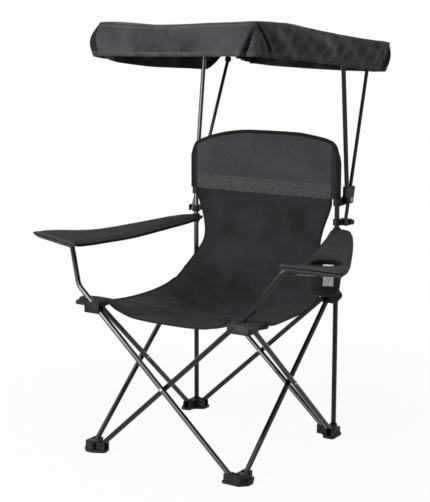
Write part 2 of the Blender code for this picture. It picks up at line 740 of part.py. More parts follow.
for side, word in ((1, "left"), (-1, "right")):
    pivot = Vector((side * pole_plane_x, pivot_y, pivot_z))
    rear_top = Vector((side * rear_pole_top[0], rear_pole_top[1], rear_pole_top[2]))
    rear_way = (rear_top - pivot).normalized()
    rear_low = pivot + rear_way * (catch_low - tail_show - pivot_z) / rear_way.z
    front_low = pivot + Vector((0, -front_socket_ahead, front_socket_up))
    front_top = Vector((side * front_pole_top[0], front_pole_top[1], front_pole_top[2]))
    front_way = (front_top - front_low).normalized()

    outline = [Vector((pivot_y + y, pivot_z + z)) for y, z in hub_outline]
    hub = place("canopy_hub_" + word,
                side_prism(fillet(outline, hub_round), side * (pole_plane_x - hub_half),
                           side * (pole_plane_x + hub_half)), pivot)
    bores = bmesh.new()
    add_cylinder(bores, front_low - front_way * pin_clearance,
                 front_low + front_way * 2 * hub_up, front_pole_r + pin_clearance, ring_sides)
    combine(hub, as_cutter(bores, hub.name + "_front_socket"), "DIFFERENCE")
    bores = bmesh.new()
    add_cylinder(bores, pivot - rear_way * 2 * hub_up, pivot + rear_way * 2 * hub_up,
                 rear_pole_r + pin_clearance, ring_sides)
    combine(hub, as_cutter(bores, hub.name + "_rear_bore"), "DIFFERENCE")
    drill(hub, [(pivot, for_x, pin_hole_r)], hub_half)

    tube("front_pole_" + word, front_low, front_top, front_pole_r, pole_wall, pivot=pivot)
    tube("rear_pole_" + word, rear_low, rear_top, rear_pole_r, pole_wall, pivot=pivot,
         holes=[(pivot, for_x, pin_hole_r)])

    axis = upright_place(side)
    ear_face = pole_plane_x - hub_half - ear_gap
    clamp = place("canopy_clamp_" + word,
                  ring_round_upright(side, clamp_low, clamp_high, ring_wall),
                  (axis.x, axis.y, clamp_low))
    ear = side_prism([(pivot_y + y, pivot_z + z) for y, z in ear_outline],
                     side * (ear_face - ear_thick), side * ear_face)
    combine(clamp, as_cutter(ear, clamp.name + "_ear"), "UNION")
    cut_upright_bore(clamp, side, clamp_low - overrun, clamp_high + overrun)
    drill(clamp, [((side * ear_face, pivot_y, pivot_z), for_x, pin_hole_r)], 2 * ear_thick)
    rivet("canopy_pivot_bolt_" + word, (side * (ear_face - ear_thick), pivot_y, pivot_z),
          (side * (pole_plane_x + hub_half), pivot_y, pivot_z), bolt_head_r, bolt_head_h)

    seat_point = pivot + rear_way * (catch_z - pivot_z) / rear_way.z
    catch_outer_x = abs(seat_point.x) + catch_slot_half + catch_outer_wall
    knob_y = seat_point.y + knob_back
    catch = place("canopy_catch_" + word,
                  ring_round_upright(side, catch_low, catch_high, ring_wall),
                  (axis.x, axis.y, catch_low))
    block = bmesh.new()
    add_box(block, (axis.x, upright_y + ear_start, catch_low),
            (side * catch_outer_x, knob_y + knob_edge, catch_high))
    combine(catch, as_cutter(block, catch.name + "_block"), "UNION")
    cut_upright_bore(catch, side, catch_low - overrun, catch_high + overrun)
    seat = bmesh.new()
    reach = 2 * catch_half_h
    add_cylinder(seat, seat_point - rear_way * reach, seat_point + rear_way * reach,
                 catch_slot_half, ring_sides)
    combine(catch, as_cutter(seat, catch.name + "_seat"), "DIFFERENCE")
    across = Vector((1, 0, 0))
    across = (across - rear_way * across.dot(rear_way)).normalized()
    forward = rear_way.cross(across)
    forward = forward if forward.y < 0 else -forward
    mouth = bmesh.new()
    frame = Matrix.Identity(4)
    for column, way in enumerate((across, forward, across.cross(forward))):
        frame.col[column] = (*way, 0)
    frame.translation = seat_point + forward * reach
    size = Matrix.Diagonal((2 * catch_slot_half, 2 * reach, 2 * reach, 1))
    bmesh.ops.create_cube(mouth, size=1, matrix=frame @ size)
    combine(catch, as_cutter(mouth, catch.name + "_mouth"), "DIFFERENCE")
    knob_spot = Vector((side * catch_outer_x, knob_y, catch_z))
    drill(catch, [(knob_spot, for_x, pin_hole_r)], 2 * knob_shank)
    step = pin_clearance
    profile = [(0, step + knob_h), (knob_r - knob_round, step + knob_h),
               (knob_r, step + knob_h - knob_round), (knob_r, step), (rivet_r, step),
               (rivet_r, -knob_shank), (0, -knob_shank)]
    turned("catch_knob_" + word, knob_spot, (side, 0, 0), profile, black_plastic, ring_sides)

    rail_front = Vector((side * rail_x, rail_front_y, rail_z(rail_front_y)))
    rail_rear = Vector((side * rail_x, rail_rear_y, rail_z(rail_rear_y)))
    bm = bmesh.new()
    add_cylinder(bm, rail_front, rail_rear, rail_r)
    rail = place("canopy_side_rail_" + word, bm, pivot)
    ends = (("front", front_top, front_way, front_pole_r), ("rear", rear_top, rear_way, rear_pole_r))
    for which, end, way, radius in ends:
        shell = bmesh.new()
        add_cylinder(shell, end - way * socket_depth, end + way * socket_cap,
                     radius + pin_clearance + socket_wall, ring_sides)
        combine(rail, as_cutter(shell, f"{rail.name}_{which}_socket"), "UNION")
    for which, end, way, radius in ends:
        inside = bmesh.new()
        add_cylinder(inside, end - way * 2 * socket_depth, end + way * pin_clearance,
                     radius + pin_clearance, ring_sides)
        combine(rail, as_cutter(inside, f"{rail.name}_{which}_bore"), "DIFFERENCE")


# Cloth pieces
def sheet_grid(rows):
    """A bmesh of quads from rows of points."""
    bm = bmesh.new()
    grid = [[bm.verts.new(point) for point in row] for row in rows]
    for low, high in zip(grid, grid[1:]):
        for i in range(len(low) - 1):
            bm.faces.new((low[i], low[i + 1], high[i + 1], high[i]))
    return bm, grid


def thicken(target, thickness):
    """Gives a sheet its thickness, equally on both sides."""
    step = target.modifiers.new("thickness", "SOLIDIFY")
    step.thickness = thickness
    step.offset = 0
    step.use_even_offset = True


def mix(a, b, share):
    """A value between two."""
    return a + (b - a) * share


def mirrored(shares):
    """Column shares from one edge, through the middle, to the other."""
    return [-share for share in reversed(shares[1:])] + list(shares)


def column_value(values, share):
    """The value that belongs to a column share, the same on both sides."""
    return values[sling_column_shares.index(abs(share))]


def sling_point(depth, height):
    """The y and z of a depth and a height share."""
    span = seat_sag if height < 0 else strip_top_z - seat_corner_z
    return mix(seat_front_y, panel_y, depth), seat_corner_z + height * span


sling_points = []
for number, (mid_depth, mid_height, width, edge_depth, edge_height) in enumerate(sling_row_shares):
    blend = min(max((number - lift_rows[0]) / (lift_rows[1] - lift_rows[0]), 0), 1)
    mid_y, mid_z = sling_point(mid_depth, mid_height)
    edge_y, edge_z = sling_point(edge_depth, edge_height)
    row = []
    for share in mirrored(sling_column_shares):
        lift = mix(column_value(front_lift_shares, share), column_value(seat_lift_shares, share),
                   blend)
        row.append((share * width * strip_half_w, mix(mid_y, edge_y, lift), mix(mid_z, edge_z, lift)))
    sling_points.append(row)
for up in panel_row_shares:
    sling_points.append([(share * panel_half_w, panel_y,
                          panel_low_z + panel_rise * up * column_value(panel_arch_shares, share))
                         for share in mirrored(sling_column_shares)])
bm, _ = sheet_grid(sling_points)
sling = place("sling", bm, (-upright_x, upright_y, 0), finish=dark_cloth)
thicken(sling, sling_t)
for side, word in ((1, "left"), (-1, "right")):
    pocket = ring_round_upright(side, panel_low_z, upright_top + pocket_cap, pocket_wall)
    combine(sling, as_cutter(pocket, "sling_pocket_" + word), "UNION")
    cut_upright_bore(sling, side, panel_low_z - 2 * overrun, upright_top + pin_clearance)


def armrest(name, side, arm, outer, level_z):
    """A padded armrest: a flat pad, a roll round its arm tube and a loop round the upright."""
    route = arm_route(*arm)
    tip, way = route[-1], (route[-1] - route[-2]).normalized()
    front_edge, rear_edge = arm_y - arm_pad_front, upright_y - arm_rear
    front_x = (arm_second_x + arm_inner, abs(tip.x) + outer)
    rear_x = (upright_x - arm_rear_in, upright_x + arm_rear_out)
    points = []
    for number, (back, inner_in, outer_in, rise) in enumerate(arm_row_shares):
        ends = (mix(front_x[0], rear_x[0], inner_in), mix(front_x[1], rear_x[1], outer_in))
        row = []
        for share in arm_column_shares:
            x = mix(*ends, share)
            z = mix(level_z, arm_rear_z, rise)
            if number < arm_front_rows:
                z = tip.z + (x - abs(tip.x)) * way.z / abs(way.x)
            row.append((side * x, mix(front_edge, rear_edge, back), z))
        points.append(row if side > 0 else row[::-1])
    bm, _ = sheet_grid(points)
    made = place(name, bm, arm[1], finish=dark_cloth)
    thicken(made, arm_pad_t)
    inner = tip + way * (arm_second_x + arm_roll_inner - abs(tip.x)) / abs(way.x)
    roll = bmesh.new()
    add_cylinder(roll, inner, tip + way * arm_roll_past_tip, arm_roll_r, ring_sides)
    combine(made, as_cutter(roll, name + "_roll"), "UNION")
    loop_low, loop_high = arm_rear_z - loop_half_h, arm_rear_z + loop_half_h
    loop = ring_round_upright(side, loop_low, loop_high, loop_wall, sleeve_clearance)
    combine(made, as_cutter(loop, name + "_loop"), "UNION")
    route[-1] += way * sleeve_clearance
    channel = curve_to_bmesh(route, tube_r + sleeve_clearance, tube_sides)
    combine(made, as_cutter(channel, name + "_channel"), "DIFFERENCE")
    cut_upright_bore(made, side, loop_low - overrun, loop_high + overrun, sleeve_clearance)
    return made


left_rest = armrest("armrest_left", 1, left_arm, arm_outer_left, arm_level_z_left)
armrest("armrest_right", -1, right_arm, arm_outer_right, arm_level_z_right)
cup_spot = Vector((arm_second_x + cup_out, arm_y + cup_back, arm_level_z_left))
hole = bmesh.new()
add_cylinder(hole, cup_spot - Vector((0, 0, arm_pad_t)), cup_spot + Vector((0, 0, arm_pad_t)),
             cup_hole_r, cup_sides)
combine(left_rest, as_cutter(hole, "cup_hole"), "DIFFERENCE")

cup_r = cup_hole_r - cup_gap
lip_low = arm_pad_t / 2 + pin_clearance
lip_high = lip_low + cup_t
corner_in, corner_up = cup_bottom_round / 4, cup_bottom_round / 3
inner_foot = cup_foot_r - cup_t
cup_profile = [
    (0, -cup_depth + cup_t), (cup_foot_r - cup_bottom_round, -cup_depth + cup_t),
    (inner_foot - corner_in, -cup_depth + corner_up + cup_t),
    (inner_foot, -cup_depth + cup_bottom_round), (cup_r - cup_t, -arm_pad_t),
    (cup_r - cup_t, lip_high), (cup_hole_r + cup_lip, lip_high), (cup_hole_r + cup_lip, lip_low),
    (cup_r, lip_low), (cup_r, -arm_pad_t), (cup_foot_r, -cup_depth + cup_bottom_round),
    (cup_foot_r - corner_in, -cup_depth + corner_up),
    (cup_foot_r - cup_bottom_round, -cup_depth), (0, -cup_depth)]
turned("cup_holder", cup_spot, (0, 0, 1), cup_profile, mesh_cloth, cup_sides)

def round_corner(x, y):
    """Moves a point of the canopy's plan so that its corners are round."""
    far_x = (abs(x) - canopy_half_w + canopy_corner) / canopy_corner
    middle_y = (canopy_front_y + canopy_rear_y) / 2
    half_y = (canopy_rear_y - canopy_front_y) / 2
    far_y = (abs(y - middle_y) - half_y + canopy_corner) / canopy_corner
    if far_x <= 0 or far_y <= 0:
        return x, y
    new_x = far_x * math.sqrt(1 - far_y ** 2 / 2)
    new_y = far_y * math.sqrt(1 - far_x ** 2 / 2)
    x = math.copysign(canopy_half_w - canopy_corner + new_x * canopy_corner, x)
    y = middle_y + math.copysign(half_y - canopy_corner + new_y * canopy_corner, y - middle_y)
    return x, y


canopy_points = []
for along in canopy_row_shares:
    y = mix(canopy_front_y, canopy_rear_y, along)
    row = []
    for share in canopy_column_shares:
        x = share * canopy_half_w
        z = mix(canopy_front_z, canopy_rear_z, along) - canopy_t / 2
        if abs(share) == 1 or along in (0, 1):
            z -= canopy_edge_drop
        wave = math.sin(math.pi * mix(*sag_span_shares, along))
        z -= canopy_sag * max(0, 1 - (x / rail_x) ** 2) * wave
        row.append(Vector((*round_corner(x, y), z)))
    canopy_points.append(row)
bm, grid = sheet_grid(canopy_points)
last_row, last_column = len(grid) - 1, len(grid[0]) - 1
around = [(0, i) for i in range(last_column)] + [(j, last_column) for j in range(last_row)]
around += [(last_row, i) for i in range(last_column, 0, -1)] + [(j, 0) for j in range(last_row, 0, -1)]
rim = []
for j, i in around:
    drop = front_drop if j == 0 else rear_drop if j == last_row else side_drop
    out = Vector((0, 0, 0))
    out.x = (i == last_column) - (i == 0)
    out.y = (j == last_row) - (j == 0)
    rim.append((canopy_points[j][i], drop - canopy_edge_drop, out.normalized()))
above = [grid[j][i] for j, i in around]
for share in (0.5, 1):
    below = []
    for spot, drop, out in rim:
        low = spot + out * canopy_flare * share
        low.z -= drop * share
        below.append(bm.verts.new(low))
    for k in range(len(above)):
        after = (k + 1) % len(above)
        bm.faces.new((above[after], above[k], below[k], below[after]))
    above = below
canopy = place("canopy_cloth", bm, (-pole_plane_x, pivot_y, pivot_z), finish=canopy_cloth_finish)
thicken(canopy, canopy_t)

# The whole chair moves so that the origin is under the middle of its box
bpy.context.view_layer.update()
depsgraph = bpy.context.evaluated_depsgraph_get()
corners = []
for made in parts.objects:
    evaluated = made.evaluated_get(depsgraph)
    mesh = evaluated.to_mesh()
    corners += [made.matrix_world @ vert.co for vert in mesh.vertices]
    evaluated.to_mesh_clear()
low = [min(corner[i] for corner in corners) for i in range(3)]
high = [max(corner[i] for corner in corners) for i in range(3)]
to_origin = Vector((-(low[0] + high[0]) / 2, -(low[1] + high[1]) / 2, -low[2]))
for made in list(parts.objects) + list(cutters.objects):
    made.location += to_origin
bpy.context.view_layer.update()
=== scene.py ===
"""Looks for the folding camping chair with a canopy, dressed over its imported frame.

Metres, +Z up. The soft pieces are laid out from the same working origin as the CAD source and
then moved by the chair's shift, which is read from the uprights.
"""
import math

import bmesh
import bpy
from mathutils import Matrix, Quaternion, Vector


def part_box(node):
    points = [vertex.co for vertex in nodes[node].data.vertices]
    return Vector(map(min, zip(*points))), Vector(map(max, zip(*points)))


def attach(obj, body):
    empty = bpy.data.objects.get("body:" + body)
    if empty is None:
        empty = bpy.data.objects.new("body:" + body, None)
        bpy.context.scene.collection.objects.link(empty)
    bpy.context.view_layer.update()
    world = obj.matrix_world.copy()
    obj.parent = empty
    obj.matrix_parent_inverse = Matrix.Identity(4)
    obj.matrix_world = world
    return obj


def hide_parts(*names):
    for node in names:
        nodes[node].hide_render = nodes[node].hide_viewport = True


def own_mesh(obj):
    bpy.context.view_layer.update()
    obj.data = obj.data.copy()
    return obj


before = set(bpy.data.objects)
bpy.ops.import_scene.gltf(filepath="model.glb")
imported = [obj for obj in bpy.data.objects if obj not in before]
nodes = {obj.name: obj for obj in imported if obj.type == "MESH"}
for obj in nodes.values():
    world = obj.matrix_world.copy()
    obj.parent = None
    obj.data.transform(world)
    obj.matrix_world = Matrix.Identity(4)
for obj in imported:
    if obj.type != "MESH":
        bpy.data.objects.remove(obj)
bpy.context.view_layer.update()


def middle(node):
    """The middle of a CAD node's box."""
    low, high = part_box(node)
    return (Vector(low) + Vector(high)) / 2


# Sizes that the soft pieces share with the frame
upright_x, upright_y = 0.267, 0.296
left_upright, right_upright = middle("upright_left"), middle("upright_right")
shift = Vector(((left_upright.x + right_upright.x) / 2, left_upright.y - upright_y, 0))
tube_r = 0.008
arm_y = -0.220

# Camera as the photograph was taken
camera_azimuth = math.radians(33.687)
camera_rise = math.radians(10.149)
camera_spot = Vector((2.2093, -3.3232, 1.3416)) + shift
camera_lens, camera_sensor = 94.68, 36
camera_shift = (0.0058, -0.0091)


# Materials
sheen_roughness = 0.4
crumple_depth, weave_depth = 0.01, 0.0004
fleck_depth, peel_depth, grain_depth, mark_depth = 0.0008, 0.0001, 0.0004, 0.0003


def new_material(name, colour, roughness, metallic=0.0, sheen=0.0, specular=0.5):
    """A Principled material, its node tree and its shader."""
    material = bpy.data.materials.new(name)
    material.use_nodes = True
    shader = material.node_tree.nodes["Principled BSDF"]
    for socket, value in (("Base Color", (*colour, 1)), ("Roughness", roughness), ("Metallic", metallic),
                          ("Sheen Weight", sheen), ("Sheen Roughness", sheen_roughness),
                          ("Specular IOR Level", specular)):
        shader.inputs[socket].default_value = value
    return material, material.node_tree, shader


def link(tree, source, output, target, socket):
    """Joins two nodes."""
    tree.links.new(source.outputs[output], target.inputs[socket])


def noise(tree, scale, detail=2.0, stretch=(1, 1, 1)):
    """Noise over the object's own coordinates."""
    place = tree.nodes.new("ShaderNodeTexCoord")
    mapping = tree.nodes.new("ShaderNodeMapping")
    mapping.inputs["Scale"].default_value = stretch
    made = tree.nodes.new("ShaderNodeTexNoise")
    made.inputs["Scale"].default_value = scale
    made.inputs["Detail"].default_value = detail
    link(tree, place, "Object", mapping, "Vector")
    link(tree, mapping, "Vector", made, "Vector")
    return made


def wave(tree, scale, direction):
    """Fine parallel threads."""
    place = tree.nodes.new("ShaderNodeTexCoord")
    made = tree.nodes.new("ShaderNodeTexWave")
    made.wave_type = "BANDS"
    made.bands_direction = direction
    made.inputs["Scale"].default_value = scale
    made.inputs["Distortion"].default_value = 0.3
    made.inputs["Detail"].default_value = 1.0
    link(tree, place, "Object", made, "Vector")
    return made


def ramp(tree, source, output, stops):
    """A colour ramp over a value."""
    made = tree.nodes.new("ShaderNodeValToRGB")
    points = made.color_ramp.elements
    while len(points) < len(stops):
        points.new(0.5)
    for point, (place, colour) in zip(points, stops):
        point.position = place
        point.color = (*colour, 1)
    link(tree, source, output, made, "Fac")
    return made


def grey(value):
    """A neutral colour."""
    return (value, value, value)


def combined(tree, operation, *inputs):
    """A math node over values, each given as a node and its output's name."""
    made = tree.nodes.new("ShaderNodeMath")
    made.operation = operation
    for number, (source, output) in enumerate(inputs):
        link(tree, source, output, made, number)
    return made


def bump(tree, shader, source, output, strength, distance, under=None):
    """Bump on a shader's normal, over another bump if given."""
    made = tree.nodes.new("ShaderNodeBump")
    made.inputs["Strength"].default_value = strength
    made.inputs["Distance"].default_value = distance
    link(tree, source, output, made, "Height")
    if under is not None:
        link(tree, under, "Normal", made, "Normal")
    link(tree, made, "Normal", shader, "Normal")
    return made


def fabric(name, colour, variation, roughness, thread_scale=420, sheen=0.06, crumple=0.4, crumple_scale=9,
           specular=0.25, patch_scale=14, twist=0.0):
    """Woven cloth: threads both ways, soft crumples, and a little colour change."""
    material, tree, shader = new_material(name, colour, roughness, sheen=sheen, specular=specular)
    dark = tuple(c * (1 - variation) for c in colour)
    light = tuple(min(1, c * (1 + variation)) for c in colour)
    tint = ramp(tree, noise(tree, patch_scale, 4), "Fac", [(0.3, dark), (0.7, light)])
    threads = [(wave(tree, thread_scale, way), "Fac") for way in ("X", "Z", "Y")]
    crossed = combined(tree, "MULTIPLY", *threads[:2])
    weave = combined(tree, "ADD", (crossed, "Value"), threads[2])
    shade = ramp(tree, weave, "Value", [(0.1, grey(0.72)), (0.9, grey(1.15))])
    mixed = tree.nodes.new("ShaderNodeMix")
    mixed.data_type = "RGBA"
    mixed.blend_type = "MULTIPLY"
    mixed.inputs["Factor"].default_value = 0.25
    first_colour, second_colour, mixed_colour = 6, 7, 2
    link(tree, tint, "Color", mixed, first_colour)
    link(tree, shade, "Color", mixed, second_colour)
    link(tree, mixed, mixed_colour, shader, "Base Color")
    folds = noise(tree, crumple_scale, 3)
    folds.inputs["Distortion"].default_value = twist
    soft = bump(tree, shader, folds, "Fac", min(crumple, 1), crumple_depth * max(crumple, 1))
    bump(tree, shader, weave, "Value", 0.25, weave_depth, under=soft)
    return material


def melange(name):
    """The speckled band under the head panel."""
    material, tree, shader = new_material(name, (0.11, 0.112, 0.12), 0.85, sheen=0.2, specular=0.3)
    flecks = noise(tree, 520, 2, (1, 1, 0.45))
    tint = ramp(tree, flecks, "Fac", [(0.36, (0.022, 0.023, 0.026)), (0.50, (0.052, 0.053, 0.057)),
                                      (0.66, (0.130, 0.133, 0.141))])
    link(tree, tint, "Color", shader, "Base Color")
    bump(tree, shader, flecks, "Fac", 0.5, fleck_depth)
    return material


def coated_tube(name):
    """Black gloss paint with faint orange peel and scuffs."""
    material, tree, shader = new_material(name, (0.006, 0.006, 0.0065), 0.12, specular=0.28)
    scuffs = noise(tree, 40, 4, (1, 1, 0.25))
    rough = ramp(tree, scuffs, "Fac", [(0.35, grey(0.09)), (0.80, grey(0.15))])
    link(tree, rough, "Color", shader, "Roughness")
    bump(tree, shader, noise(tree, 900, 1), "Fac", 0.02, peel_depth)
    return material


def moulded(name, colour, roughness):
    """Black moulded plastic with a fine grain and slightly pale wear."""
    material, tree, shader = new_material(name, colour, roughness, specular=0.16)
    pale = tuple(c * 1.8 for c in colour)
    tint = ramp(tree, noise(tree, 35, 5), "Fac", [(0.45, colour), (0.85, pale)])
    link(tree, tint, "Color", shader, "Base Color")
    bump(tree, shader, noise(tree, 1400, 2), "Fac", 0.18, grain_depth)
    return material


def plated(name):
    """Zinc-plated rivet steel."""
    material, tree, shader = new_material(name, (0.30, 0.30, 0.31), 0.32, metallic=1.0)
    marks = noise(tree, 300, 4)
    tint = ramp(tree, marks, "Fac", [(0.35, (0.16, 0.16, 0.17)), (0.75, (0.42, 0.42, 0.43))])
    link(tree, tint, "Color", shader, "Base Color")
    bump(tree, shader, marks, "Fac", 0.1, mark_depth)
    return material


main_cloth = fabric("main_fabric", (0.0345, 0.0355, 0.0400), 0.34, 0.80, crumple=2.0, specular=0.05,
                    patch_scale=6, twist=0.6)
arm_cloth = fabric("arm_fabric", (0.0415, 0.0425, 0.0474), 0.24, 0.80, crumple=0.5, specular=0.05,
                   patch_scale=12)
# The rolls' cloth is the arm cloth made lighter: painted light for the light that a roll's top catches
roll_cloth_painted_light = fabric("roll_fabric_painted_light", (0.060, 0.0614, 0.0678), 0.24, 0.80, crumple=0.5, specular=0.05,
                    patch_scale=12)
panel_cloth = fabric("head_fabric", (0.067, 0.0685, 0.0763), 0.14, 0.76, crumple=0.45, specular=0.05,
                     patch_scale=9)
canopy_finish = fabric("canopy_fabric", (0.042, 0.0431, 0.0478), 0.46, 0.55, crumple=1.4, crumple_scale=14,
                       specular=0.07, patch_scale=9, twist=0.2)
canopy_lining = fabric("canopy_lining", (0.010, 0.0102, 0.011), 0.15, 0.7, crumple=0.3)
canopy_hem_finish = fabric("canopy_hem_fabric", (0.040, 0.0410, 0.0455), 0.46, 0.6, crumple=0.9,
                           crumple_scale=60, specular=0.07, patch_scale=24)
# Darker cloth for the pleats' folded-back faces: painted shade of the folds
pleat_painted_shade = fabric("canopy_pleat_painted_shade", (0.013, 0.0133, 0.0145), 0.4, 0.7, crumple=0.8, specular=0.08)
# Near-black tape: the cup rim's dark binding, darkened further as painted shade of the hole's rim, and the
# roll's seam stripe, painted shade of its groove
rim_tape_and_seam_shade = fabric("cup_rim_tape_and_seam_shade", (0.0045, 0.0046, 0.005), 0.15, 0.6, 700, crumple=0.1, specular=0.08)
binding_finish = fabric("binding_tape", (0.0095, 0.0098, 0.011), 0.15, 0.72, 700, crumple=0.1, specular=0.10)
canopy_thread = fabric("canopy_thread", (0.15, 0.152, 0.16), 0.1, 0.6, 900, crumple=0.0)
thread_finish = fabric("sewing_thread", (0.045, 0.046, 0.050), 0.1, 0.6, 900, crumple=0.0)
mesh_finish = fabric("cup_mesh", (0.015, 0.0155, 0.017), 0.2, 0.6, 900, crumple=0.0)
band_finish = melange("speckled_band")
tube_finish = coated_tube("black_gloss_tube")
plastic_finish = moulded("black_moulding", (0.0075, 0.0075, 0.0080), 0.5)
knob_finish = moulded("black_knob", (0.008, 0.008, 0.0085), 0.40)
rivet_finish = plated("plated_rivet")
pin_finish = moulded("blackened_pin", (0.007, 0.007, 0.0075), 0.40)

# The first word that a CAD node's name holds gives its finish
finish_words = (("_pin", pin_finish), ("rivet", rivet_finish), ("bolt", rivet_finish), ("tube", tube_finish),
                ("upright", tube_finish), ("pole", tube_finish), ("knob", knob_finish), ("", plastic_finish))
for name, node in nodes.items():
    finish = next(finish for word, finish in finish_words if word in name)
    for slot in node.material_slots:
        slot.material = finish


# Helpers for shapes
def mix(a, b, share):
    """A value or point between two."""
    return a + (b - a) * share


def step_between(low, high, value):
    """0 below low, 1 above high and smooth between."""
    share = min(max((value - low) / (high - low), 0), 1)
    return share * share * (3 - 2 * share)


def spline(values, place):
    """A smooth curve through evenly numbered values or points."""
    last = len(values) - 1
    i = min(max(int(math.floor(place)), 0), last - 1)
    t = place - i
    p1, p2 = values[i], values[i + 1]
    p0 = values[i - 1] if i > 0 else p1 + (p1 - p2)
    p3 = values[i + 2] if i + 2 <= last else p2 + (p2 - p1)
    return (p1 * 2 + (p2 - p0) * t + (p0 * 2 - p1 * 5 + p2 * 4 - p3) * (t * t)
            + (p1 * 3 - p0 - p2 * 3 + p3) * (t * t * t)) * 0.5


def table(places, values, at):
    """A value read between unevenly spaced places."""
    for k in range(len(places) - 1):
        if at <= places[k + 1]:
            break
    share = (at - places[k]) / (places[k + 1] - places[k])
    return spline(values, k + share)


def lookup(rows, at):
    """Reads a two-column table, and its end value past an end."""
    at = min(max(at, rows[0][0]), rows[-1][0])
    return table([row[0] for row in rows], [row[1] for row in rows], at)


def fold_list(rows, scale_x=1, scale_y=1, widen=1, gain=1):
    """Folds from rows of start, end, width and height, with the places scaled."""
    return [(Vector((start[0] * scale_x, start[1] * scale_y)), Vector((end[0] * scale_x, end[1] * scale_y)),
             width * widen, tall * gain) for start, end, width, tall in rows]


def creased(at, folds):
    """How high all folds together stand at a place, all in two dimensions."""
    total = 0
    for start, end, width, tall in folds:
        along = end - start
        share = (at - start).dot(along) / along.length_squared
        near = start + along * min(max(share, 0), 1)
        away = (at - near).length / width
        total += tall * math.exp(-away * away) * math.sin(math.pi * min(max(0.08 + 0.84 * share, 0), 1))
    return total


def turns(count):
    """Angles evenly round a circle."""
    return [2 * math.pi * k / count for k in range(count)]


def squared(turn, share):
    """How far a ring reaches at an angle, from a circle at 0 to a square at 1."""
    return mix(1, 1 / max(abs(math.cos(turn)), abs(math.sin(turn))), share)


def new_object(name, mesh, finishes):
    """An object in the scene with its finishes."""
    made = bpy.data.objects.new(name, mesh)
    for finish in finishes if isinstance(finishes, (list, tuple)) else [finishes]:
        mesh.materials.append(finish)
    bpy.context.scene.collection.objects.link(made)
    return made


def smoothed(mesh, angle):
    """Smooth shading that stays sharp past an angle."""
    mesh.shade_smooth()
    mesh.set_sharp_from_angle(angle=math.radians(angle))


def finish_mesh(name, bm, finishes, smooth_angle=40):
    """Makes an object from a bmesh that is laid out from the working origin."""
    bmesh.ops.translate(bm, verts=bm.verts, vec=shift)
    bmesh.ops.recalc_face_normals(bm, faces=bm.faces)
    mesh = bpy.data.meshes.new(name)
    bm.to_mesh(mesh)
    bm.free()
    smoothed(mesh, smooth_angle)
    return new_object(name, mesh, finishes)


def modified(made, kind, **settings):
    """Shapes an object's mesh by a modifier, which isn't kept."""
    step = made.modifiers.new(kind.lower(), kind)
    for name, value in settings.items():
        setattr(step, name, value)
    bpy.context.view_layer.update()
    shaped = bpy.data.meshes.new_from_object(made.evaluated_get(bpy.context.evaluated_depsgraph_get()))
    made.modifiers.clear()
    made.data = shaped


def normals_of(points):
    """Unit normals of a grid of points."""
    rows, columns = len(points), len(points[0])
    out = []
    for j in range(rows):
        line = []
        for i in range(columns):
            across = points[j][min(i + 1, columns - 1)] - points[j][max(i - 1, 0)]
            along = points[min(j + 1, rows - 1)][i] - points[max(j - 1, 0)][i]
            line.append(across.cross(along).normalized())
        out.append(line)
    return out


def round_grid(rows, columns):
    """The places on a grid's edge, once round, for its last row and column."""
    return ([(0, i) for i in range(columns)] + [(j, columns) for j in range(rows)]
            + [(rows, i) for i in range(columns, 0, -1)] + [(j, 0) for j in range(rows, 0, -1)])


def shell(points, low, high):
    """A closed bmesh between two offsets of a grid along its normals. An offset is given for each place."""
    normal = normals_of(points)
    rows, columns = len(points), len(points[0])
    bm = bmesh.new()
    under, over = [[[bm.verts.new(points[j][i] + normal[j][i] * offset(j, i)) for i in range(columns)]
                    for j in range(rows)] for offset in (low, high)]
    for j in range(rows - 1):
        for i in range(columns - 1):
            bm.faces.new((under[j][i], under[j + 1][i], under[j + 1][i + 1], under[j][i + 1]))
            bm.faces.new((over[j][i], over[j][i + 1], over[j + 1][i + 1], over[j + 1][i]))
    edge = round_grid(rows - 1, columns - 1)
    for (j, i), (b, a) in zip(edge, edge[1:] + edge[:1]):
        bm.faces.new((under[j][i], under[b][a], over[b][a], over[j][i]))
    return bm


def sweep(sections, closed=False, stripe=()):
    """A bmesh over a row of rings, with capped ends or closed on itself.
    A stripe names the ring's places that take the second finish."""
    bm = bmesh.new()
    rings = [[bm.verts.new(point) for point in ring] for ring in sections]
    count = len(rings[0])
    for a, b in zip(rings, rings[1:] + rings[:1] if closed else rings[1:]):
        for i in range(count):
            face = bm.faces.new((a[i], a[(i + 1) % count], b[(i + 1) % count], b[i]))
            face.material_index = int(i in stripe)
    if not closed:
        bm.faces.new(rings[0][::-1])
        bm.faces.new(rings[-1])
    return bm


def lathe(centre, profile, count):
    """A closed bmesh that turns a profile of radii and heights round an upright axis."""
    return sweep([[centre + Vector((math.cos(turn), math.sin(turn), 0)) * r + Vector((0, 0, z))
                   for r, z in profile] for turn in turns(count)], True)


tape_section = [(-0.5, 0), (-0.42, 0.36), (-0.2, 0.5), (0.42, 0.42), (0.5, 0.3), (0.5, -0.3),
                (0.42, -0.42), (-0.2, -0.5), (-0.42, -0.36)]


def binding(name, edge, inward, normal, width=0.009, thick=0.0046, proud=0.0012):
    """Binding tape folded round the edge of a sheet."""
    sections = []
    for point, way, up in zip(edge, inward, normal):
        centre = point + way * (width / 2 - proud)
        sections.append([centre + way * (a * width) + up * (b * thick) for a, b in tape_section])
    return finish_mesh(name, sweep(sections), binding_finish, 60)


